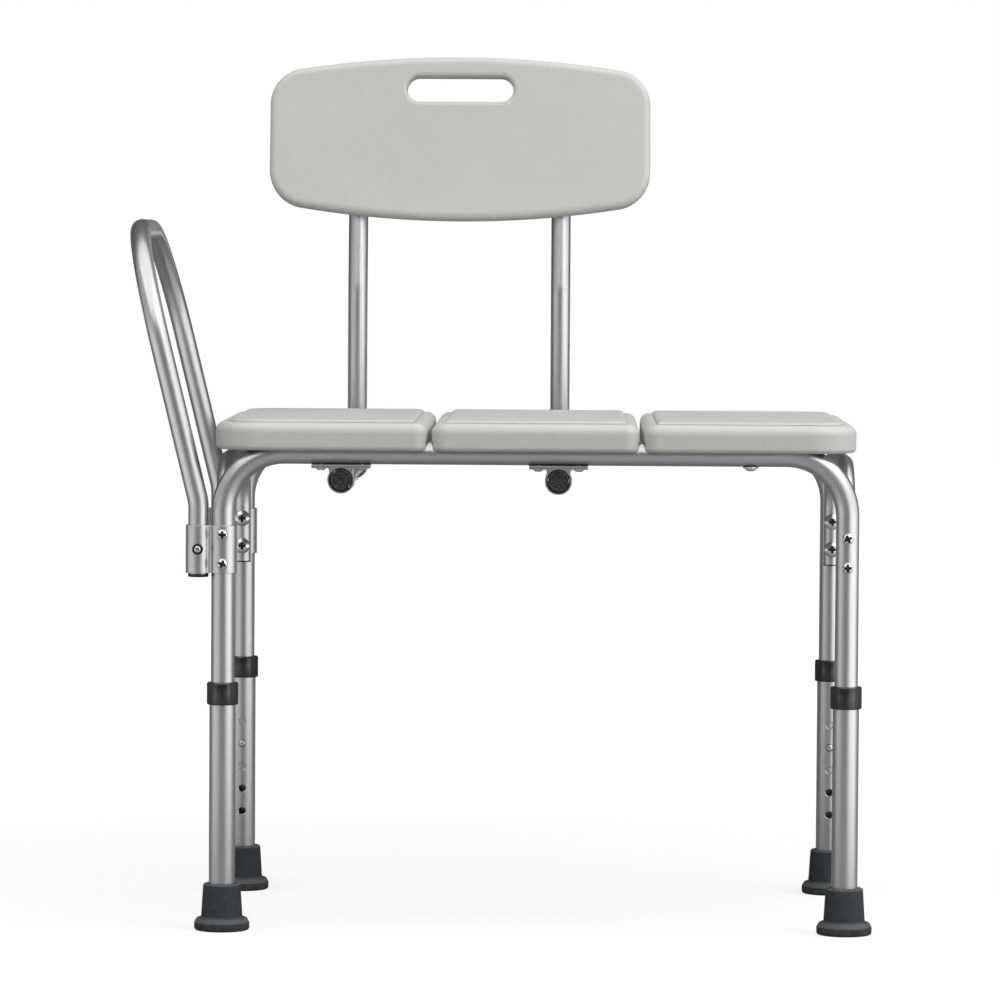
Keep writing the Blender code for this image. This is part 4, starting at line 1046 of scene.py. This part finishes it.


def arched(inset):
    half_w, half_h = PANEL_W / 2, PANEL_SIDE / 2
    flat = outline_of(half_w, half_h, (PANEL_CORNER,) * 4, inset, CORNER_STEPS)
    count = CORNER_STEPS + 1
    made = []
    for k in range(4):
        made += flat[k * count:(k + 1) * count]
        if k % 2 == 0:
            last, after = made[-1], flat[(k + 1) * count]
            made += [last.lerp(after, i / ARCH_STEPS) for i in range(1, ARCH_STEPS)]
    bowed = []
    for x, z in made:
        bow = (ARCH_TOP if z > 0 else -ARCH_LOW) * min(1, abs(z) / (half_h - PANEL_CORNER))
        bowed.append((x, z + bow * (1 - (x / half_w) ** 2)))
    return bowed


lean = Matrix.Translation(at(BACK_MIDDLE, PANEL_Y, PANEL_Z)) @ Matrix.Rotation(-BACK_LEAN, 4, "X")
front = PANEL_REAR - PANEL_T
# The third value paints a highlight on the round edges, most on the front edge's curve
sections = [(REAR_ROUND + FLAT_MARGIN, PANEL_REAR, 0.0)]
sections += [(inset, PANEL_REAR - drop, 0.5) for inset, drop in quarter(REAR_ROUND)[::-1]]
sections += [(inset, front + drop, 0.15 + 0.85 * math.sin(math.pi * i / 8))
             for i, (inset, drop) in enumerate(quarter(FRONT_ROUND, 8))]
sections.append((FRONT_ROUND + FLAT_MARGIN, front, 0.0))
rings = [[(x, y, z) for x, z in arched(inset)] for inset, y, _ in sections]
backrest = stacked("back_panel", rings, lean, [edge_light_levels for _, _, edge_light_levels in sections])

# %% [markdown]
# The slot's cutter is a stadium outline that widens in a quarter round at both faces, which leaves
# rounded lips for the fingers. The channels are two cylinders along the posts.

# %% Hand slot and channels
def slot_cutter():
    stations = [(-FLARE * SLOT_FRONT_LIP, front - SLOT_FRONT_LIP)]
    stations += [(-drop, front + inset) for inset, drop in quarter(SLOT_FRONT_LIP)]
    stations += [(-drop, PANEL_REAR - inset) for inset, drop in quarter(SLOT_REAR_LIP)[::-1]]
    stations.append((-FLARE * SLOT_REAR_LIP, PANEL_REAR + SLOT_REAR_LIP))
    half_w, half_h = SLOT_W / 2, SLOT_H / 2
    rings = [[(x, y, SLOT_RISE + z)
              for x, z in outline_of(half_w, half_h, (half_h - 0.0001,) * 4, inset, CORNER_STEPS)]
             for inset, y in stations]
    return stacked("slot", rings, lean, [LIP_LIGHT] * len(rings))


def channel_cutter(x):
    ring = circle((x, 0), BACK_R + FIT, 56)
    top = POST_TOP + POST_RIM + FIT
    return stacked("channel", [[(a, b, h) for a, b in ring] for h in (-PANEL_SIDE, top)], lean)


cut_away(backrest, [slot_cutter(), channel_cutter(-BACK_SPAN / 2), channel_cutter(BACK_SPAN / 2)])
hand_over(backrest, "backrest", "seat_plastic", "backrest_panel")

# %% [markdown]
# All the bolts and screws are one low round head with a cross in it, and the saddle nuts are smooth
# domes that wrap round the brace. One of each is modelled with care. The fastener tree then sets a copy
# at every point, turned to that point's axis, realizes the copies and gives the cross its painted shade.

# %% The fastener tree
def fastener_tree():
    make = Maker("set_fasteners", {"Fastener": "Object", "Steel": "Material", "Cross": "Material"})
    axis = make.attribute("axis", "FLOAT_VECTOR")
    facing = make.node("FunctionNodeAlignRotationToVector", {"Vector": axis})
    spin = make.node("FunctionNodeAxisAngleToRotation", {"Axis": UP, "Angle": make.attribute("spin")})
    facing = make.node("FunctionNodeRotateRotation", {"Rotation": facing, "Rotate By": spin},
                       rotation_space="LOCAL")
    copies = make.copies(make.given["Geometry"], make.given["Fastener"], facing)
    # the cross's faces take the painted shade
    return make.finish(copies, {"Steel": True, "Cross": make.attribute("in_cross", "BOOLEAN")})


FASTENERS = fastener_tree()


def set_fasteners(name, template, places, body, *nodes):
    """places are (point, axis, spin). The template is removed once it has been copied."""
    mesh = bpy.data.meshes.new(name)
    mesh.from_pydata([tuple(point) for point, _, _ in places], [], [])
    mesh.attributes.new("axis", "FLOAT_VECTOR", "POINT").data.foreach_set(
        "vector", [v for _, axis, _ in places for v in axis])
    mesh.attributes.new("spin", "FLOAT", "POINT").data.foreach_set("value", [spin for _, _, spin in places])
    piece = piece_from(name, mesh)
    use_tree(piece, FASTENERS, {"Fastener": template, "Steel": STEEL, "Cross": CROSS_SHADE})
    plain(piece)
    bpy.data.objects.remove(template)
    hand_over(piece, body, "bright_steel", *nodes)


# %% [markdown]
# A cross-head screw: a dome pressed from wire, with a cross sunk in the middle. The cross is two wedges
# taken out of the dome, and the faces that they leave are marked for the painted shade. The nuts have one
# too, so that a driver holds them while the screw turns.

# %% Cross-head screws
# A cross's arm and half width, as shares of the head's radius, and its depth, as a share of the height
SCREW_CROSS, NUT_CROSS = (0.84, 0.25, 0.88), (0.52, 0.17, 0.42)
FLOOR_TAPER, TOP_TAPER = (0.55, 0.60), (1.15, 1.15)     # of a cross's length and width, low and high
SKIRT = ((1.35, 0), (1.38, 0.5), (1.3, 1))              # a flange's line, in head radii and its height
SKIN_MARGIN = 0.04                                      # of the head's height


def cross_cutters(top, arm, half, deep):
    """Two crossed wedges that widen upward."""
    cutters = []
    for turn_by in (0, math.pi / 2):
        rings = []
        for z, (along, wide) in ((top - deep, FLOOR_TAPER), (top + 0.001, TOP_TAPER)):
            x, y = arm * along, half * wide
            rings.append([(x, -y, z), (x, y, z), (-x, y, z), (-x, -y, z)])
        cutters.append(stacked("cross", rings, Matrix.Rotation(turn_by, 4, "Z")))
    return cutters


def crossed(head, radius, base, height, cross, others=()):
    """Sinks a cross in a dome, and marks the faces between its floor and the dome's skin."""
    top, arm, half, deep = base + height, radius * cross[0], radius * cross[1], height * cross[2]
    cut_away(head, [*others, *cross_cutters(top, arm, half, deep)])
    sunk = head.data.attributes.new("in_cross", "BOOLEAN", "FACE")
    for face in head.data.polygons:
        r, z = math.hypot(*face.center.xy), face.center.z
        skin = base + height * math.sqrt(max(0.0, 1 - (r / radius) ** 2))
        inside = r < arm * 1.1 and top - deep - 1e-4 < z < skin - SKIN_MARGIN * height
        sunk.data[face.index].value = bool(inside)
    return head


def dome(radius, height, base, steps, power=1.0):
    """A profile from the rim, at height base, up to the axis."""
    side = [(radius * math.cos(t) ** power, base + height * math.sin(t))
            for t in (math.pi / 2 * k / steps for k in range(steps))]
    return side + [(0, base + height)]


def cross_head(radius, height, shank_r, shank_length, flange=0.0):
    """A head whose flat side lies at height 0, with its shank below."""
    skirt = [(radius, 0)]
    if flange:
        skirt = [(radius * wide, flange * up) for wide, up in SKIRT]
    profile = [(0, -shank_length), (shank_r, -shank_length), (shank_r, 0), *skirt,
               *dome(radius, height, flange, 9)]
    head = piece_from("screw", turned(profile, sides=40), STEEL)
    return crossed(head, radius, flange, height, SCREW_CROSS)


BOLT_R, BOLT_H, SHANK_R = 0.006, 0.0034, 0.0025
BOLT_Z, BOLT_SPIN = {"upper": 0.4227, "lower": 0.3917}, {"upper": 0.5, "lower": 0.15}
STACK = {"left": SLEEVE_LEG_R, "right": FRAME_R}


def set_four(name, template, side, y, facing, node, spun):
    """The fastener at each of a side's four bolted joints, facing out or in."""
    places, nodes = [], []
    for end, out in ENDS.items():
        for level, z in BOLT_Z.items():
            spin = spun * (BOLT_SPIN[level] + 0.3 * out + 0.2 * SIDES[side])
            places.append((at(SIDES[side] * LEG_X, out * y, z), (0, facing * out, 0), spin))
            nodes.append(f"{node}_{end}_{side}_{level}")
    set_fasteners(name, template, places, "frame", *nodes)


for side in SIDES:
    low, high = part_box(f"leg_bolt_front_{side}_upper")
    bolt = cross_head(BOLT_R, BOLT_H, SHANK_R, high.y - low.y - BOLT_H)
    set_four(f"leg_bolts_{side}", bolt, side, LEG_Y + STACK[side] + FIT, 1, "leg_bolt", 1)

# %% [markdown]
# Short screws from below hold the brackets and, at the far end, the seat, and four more hold the back
# panel on its posts. The seat's own screw has a flange under its head.

# %% Bracket, seat and back-panel screws
FLANGE_SCREW_X, SEAT_SCREW_X, PANEL_SCREW_Z = 0.0217, 0.2285, (-0.050, 0.022)
SCREW_LENGTH, SEAT_FLANGE = 0.006, 0.0016
BRACKET_SCREW, SEAT_SCREW = (0.0054, 0.0030, 0.0020), (0.0060, 0.0034, 0.0020)    # head and shank
PANEL_SCREW = (0.0042, 0.0024, 0.0018)
bracket_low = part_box("back_bracket_front_left")[1].z - BRACKET_FLANGE
places = [(at(x + step, out * LEG_Y, bracket_low), DOWN, 0.4 + 9 * (x + step))
          for out in ENDS.values() for x in BACK_X.values() for step in (-FLANGE_SCREW_X, FLANGE_SCREW_X)]
set_fasteners("bracket_screws", cross_head(*BRACKET_SCREW, SCREW_LENGTH), places, "frame")

places = [(at(SEAT_SCREW_X, out * LEG_Y, RAIL_Z - FRAME_R), DOWN, 0.6) for out in ENDS.values()]
set_fasteners("seat_screws", cross_head(*SEAT_SCREW, SCREW_LENGTH, SEAT_FLANGE), places, "frame")

rearward = lean.to_3x3() @ Vector((0, 1, 0))
places = [(lean @ Vector((way * BACK_SPAN / 2, BACK_R, height)), rearward, 0.3 + 8 * height)
          for way in SIDES.values() for height in PANEL_SCREW_Z]
set_fasteners("back_screws", cross_head(*PANEL_SCREW, SCREW_LENGTH), places, "backrest")

# %% [markdown]
# A saddle nut is a dome whose underside is hollowed to the brace's curve, so that it can't turn while
# the bolt is driven from the other side.

# %% Saddle nuts
NUT_R, NUT_H, NUT_SKIRT, NUT_EDGE = 0.009, 0.0045, 0.0045, 0.0004


def saddle_nut():
    profile = [(0, -NUT_SKIRT), (NUT_R - NUT_EDGE, -NUT_SKIRT), (NUT_R, -NUT_SKIRT + NUT_EDGE),
               *dome(NUT_R, NUT_H, 0, 10, power=0.8)]
    nut = piece_from("nut", turned(profile, sides=48), STEEL)
    ring = circle((0, -BRACE_R), BRACE_R + FIT)
    brace = stacked("brace", [[(a, u, b) for a, b in ring] for u in (-0.02, 0.02)])
    return crossed(nut, NUT_R, 0, NUT_H, NUT_CROSS, others=[brace])


for side in SIDES:
    set_four(f"saddle_nuts_{side}", saddle_nut(), side, BRACE_Y[side] - BRACE_R, -1, "leg_nut", 0)

# %% [markdown]
# A snap clip is a bent spring strip inside the tube with a round-nosed button riveted to one end. The
# strip is a thin closed section along a line with rounded bends, and the button is turned. When the
# button is pressed, the far side of the strip stays against the tube and only the button's side moves.

# %% Snap clips
CLIP_STRIP, CLIP_WIDTH, CLIP_LENGTH, CLIP_TAIL, CLIP_GAP = 0.0007, 0.007, 0.034, 0.006, 0.0006
CLIP_BEND, CLIP_TURN, CLIP_TIP = 0.012, 0.0012, 0.0010
BUTTON_R, BUTTON_NOSE, NOSE_FLAT, PROUD = 0.0036, 0.0016, 0.55, 0.0028
BEND_SHARE = 0.8           # of the bore: a point on the clip that add_clip works out and does not use


def clip_mesh(bore, reach):
    """Its own +X runs out through the button and its own +Z along the tube."""
    half_w = CLIP_WIDTH / 2
    face = math.sqrt(bore ** 2 - half_w ** 2) - CLIP_GAP - CLIP_STRIP / 2
    near, high = face * 0.28, CLIP_LENGTH * 0.96       # where the strip turns over at its top
    line = rounded([(face, -CLIP_TAIL), (face, CLIP_LENGTH * 0.35, CLIP_BEND), (near, high, CLIP_TURN),
                    (0, CLIP_LENGTH, CLIP_TIP), (-near, high, CLIP_TURN),
                    (-face, CLIP_LENGTH * 0.30, CLIP_BEND), (-face, -CLIP_TAIL)])
    rings = []
    for i, point in enumerate(line):
        run = (line[min(i + 1, len(line) - 1)] - line[max(i - 1, 0)]).normalized()
        normal = Vector((-run.y, run.x)) * CLIP_STRIP / 2
        rings.append([((point + thick * normal).x, wide * half_w, (point + thick * normal).y)
                      for thick, wide in ((1, -1), (-1, -1), (-1, 1), (1, 1))])
    bm = skin_over(rings, capped=True)
    nose = [(0, face), (BUTTON_R, face)] + [
        (BUTTON_R * (NOSE_FLAT + (1 - NOSE_FLAT) * math.cos(t)), reach - BUTTON_NOSE * (1 - math.sin(t)))
        for t in (math.pi / 2 * k / 6 for k in range(7))] + [(0, reach + 0.0001)]
    button = turned(nose, sides=32)
    button.transform(Matrix.Rotation(math.pi / 2, 4, "Y"))
    bm.from_mesh(button)
    bpy.data.meshes.remove(button)
    return shade(mesh_of(bm, "clip"))


def add_clip(kind, where, place, out, along, tube_r, skin_r, tube_body):
    """A clip inside a tube. Its button, which points out, stands proud of the skin outside."""
    out, along, bore = Vector(out), Vector(along), tube_r - WALL
    turn = Matrix((out, along.cross(out), along)).transposed().to_4x4()
    mesh = clip_mesh(bore, skin_r + PROUD)
    mesh.transform(Matrix.Translation(place) @ turn)
    clip = piece_from(f"{kind}_clip_{where}", mesh, STEEL)
    button_body = f"{kind}_button_{where}"
    place + out * bore * BEND_SHARE
    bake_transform(clip)
    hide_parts(f"{kind}_snap_clip_{where}")
    note(clip, f"{tube_body} to {button_body}")


for end, out in ENDS.items():
    for side, way in SIDES.items():
        add_clip("leg", f"{end}_{side}", at(way * LEG_X, out * LEG_Y, BUTTON_Z), (0, -out, 0), UP, FRAME_R,
                 LEG_R, "frame")
    add_clip("arm", end, at(ARM_X, out * LEG_Y, SLEEVE_Z), (0, out, 0), UP, ARM_R, SLEEVE_ARM_R, "arm")
for side, x in BACK_X.items():
    add_clip("back", side, at(x, LEG_Y, BACK_Z), DOWN, (0, 1, 0), BACK_R, BRACKET_R, "backrest")

# %% [markdown]
# The floor is a plain pale sheet that takes the light and the bench's soft shadow. For the lens it glows a
# little as well, more so further out, and it melts into the white behind. Metal sees that glow behind
# the bench, where the white background stands. Beside and before the bench the sheet glows for metal
# only, a painted reflection of lamp light, stronger on the right, that the tubes show.

# %% Floor
FLOOR_HALF = 12.0
mesh = bpy.data.meshes.new("floor")
mesh.from_pydata([(FLOOR_HALF * x, FLOOR_HALF * y, 0) for x, y in ((-1, -1), (1, -1), (1, 1), (-1, 1))],
                 [], [(0, 1, 2, 3)])
sheet = Finish("floor", {"Roughness": 0.9, "Specular IOR Level": 0.0, "Base Color": (0.30, 0.30, 0.30, 1),
                         "Emission Strength": 1.0})
far = sheet.node("VectorMath", {0: sheet.place}, out="Value", operation="LENGTH").between(0.7, 2.0)
x, y, _ = sheet.parts(sheet.place)
# painted reflection: beside the bench the sheet glows for metal only, stronger on the right
painted_side_glow = 1.1 * x.between(0.3, 1.6) + 0.55 * (0 - x).between(0.3, 1.6)
front = 0 - y
# painted reflection: before the bench the sheet glows a little for metal only
before = 0.10 * front.between(0.15, 0.6) * (1 - front.between(1.0, 2.0))
metal = y.between(3.0, 8.0) + painted_side_glow * front.between(-0.1, 0.5) + before
glow = sheet.ray("Camera") * (0.75 + 0.25 * far) + (sheet.ray("Glossy") + sheet.ray("Transmission")) * metal
sheet.feed(sheet.shader.inputs["Emission Color"], glow)
floor = piece_from("floor", mesh, sheet.material)
print("floor", 2 * FLOOR_HALF, "m square")

# %% [markdown]
# The room round the bench is dim and the background white. A ray from the lens always sees white. Gloss
# and metal see the white too where it stands, straight behind the bench, and the dim room elsewhere,
# which gives the tubes the dark band down their middle.

# %% Room and background
ROOM = 0.11
world = bpy.data.worlds.new("room")
bpy.context.scene.world = world
world.use_nodes = True
air = Graph(world.node_tree)
behind = air.parts(air.node("TexCoord", out="Generated"))[1]
white = air.ray("Camera") + (air.ray("Glossy") + air.ray("Transmission")) * behind.between(0.992, 1.0)
background = world.node_tree.nodes["Background"]
background.inputs["Color"].default_value = (1, 1, 1, 1)
air.feed(background.inputs["Strength"], ROOM + white * (1 - ROOM))
print("room", ROOM)

# %% [markdown]
# Soft boxes light the bench: a large one on the right, a weaker one on the left, and a wide one overhead.
# The two at the sides are wide for their distance, so that upright tubes show a broad bright band on the
# right and a duller one on the left.

# %% Lamps
def soft_box(name, place, target, width, height, power):
    data = bpy.data.lights.new(name, "AREA")
    data.shape, data.size, data.size_y, data.energy = "RECTANGLE", width, height, power
    lamp = bpy.data.objects.new(name, data)
    bpy.context.scene.collection.objects.link(lamp)
    lamp.location = at(*place)
    lamp.rotation_euler = (at(*target) - lamp.location).to_track_quat("-Z", "Y").to_euler()
    lamp.visible_camera = False
    print(name, power, "W")


soft_box("right_box", (2.0, -0.80, 1.2), (0.0, 0, 0.5), 3.9, 3.0, 41)
soft_box("left_box", (-1.6, -0.62, 0.9), (0.0, 0, 0.5), 2.2, 2.4, 7)
soft_box("top_box", (0.3, -1.0, 3.0), (0, 0, 0.55), 6.6, 5.2, 145)

# %% [markdown]
# Last, the number of added pieces and their triangles is printed.

# %% Count
print("pieces added:", len(TRIANGLES), "triangles:", sum(TRIANGLES))
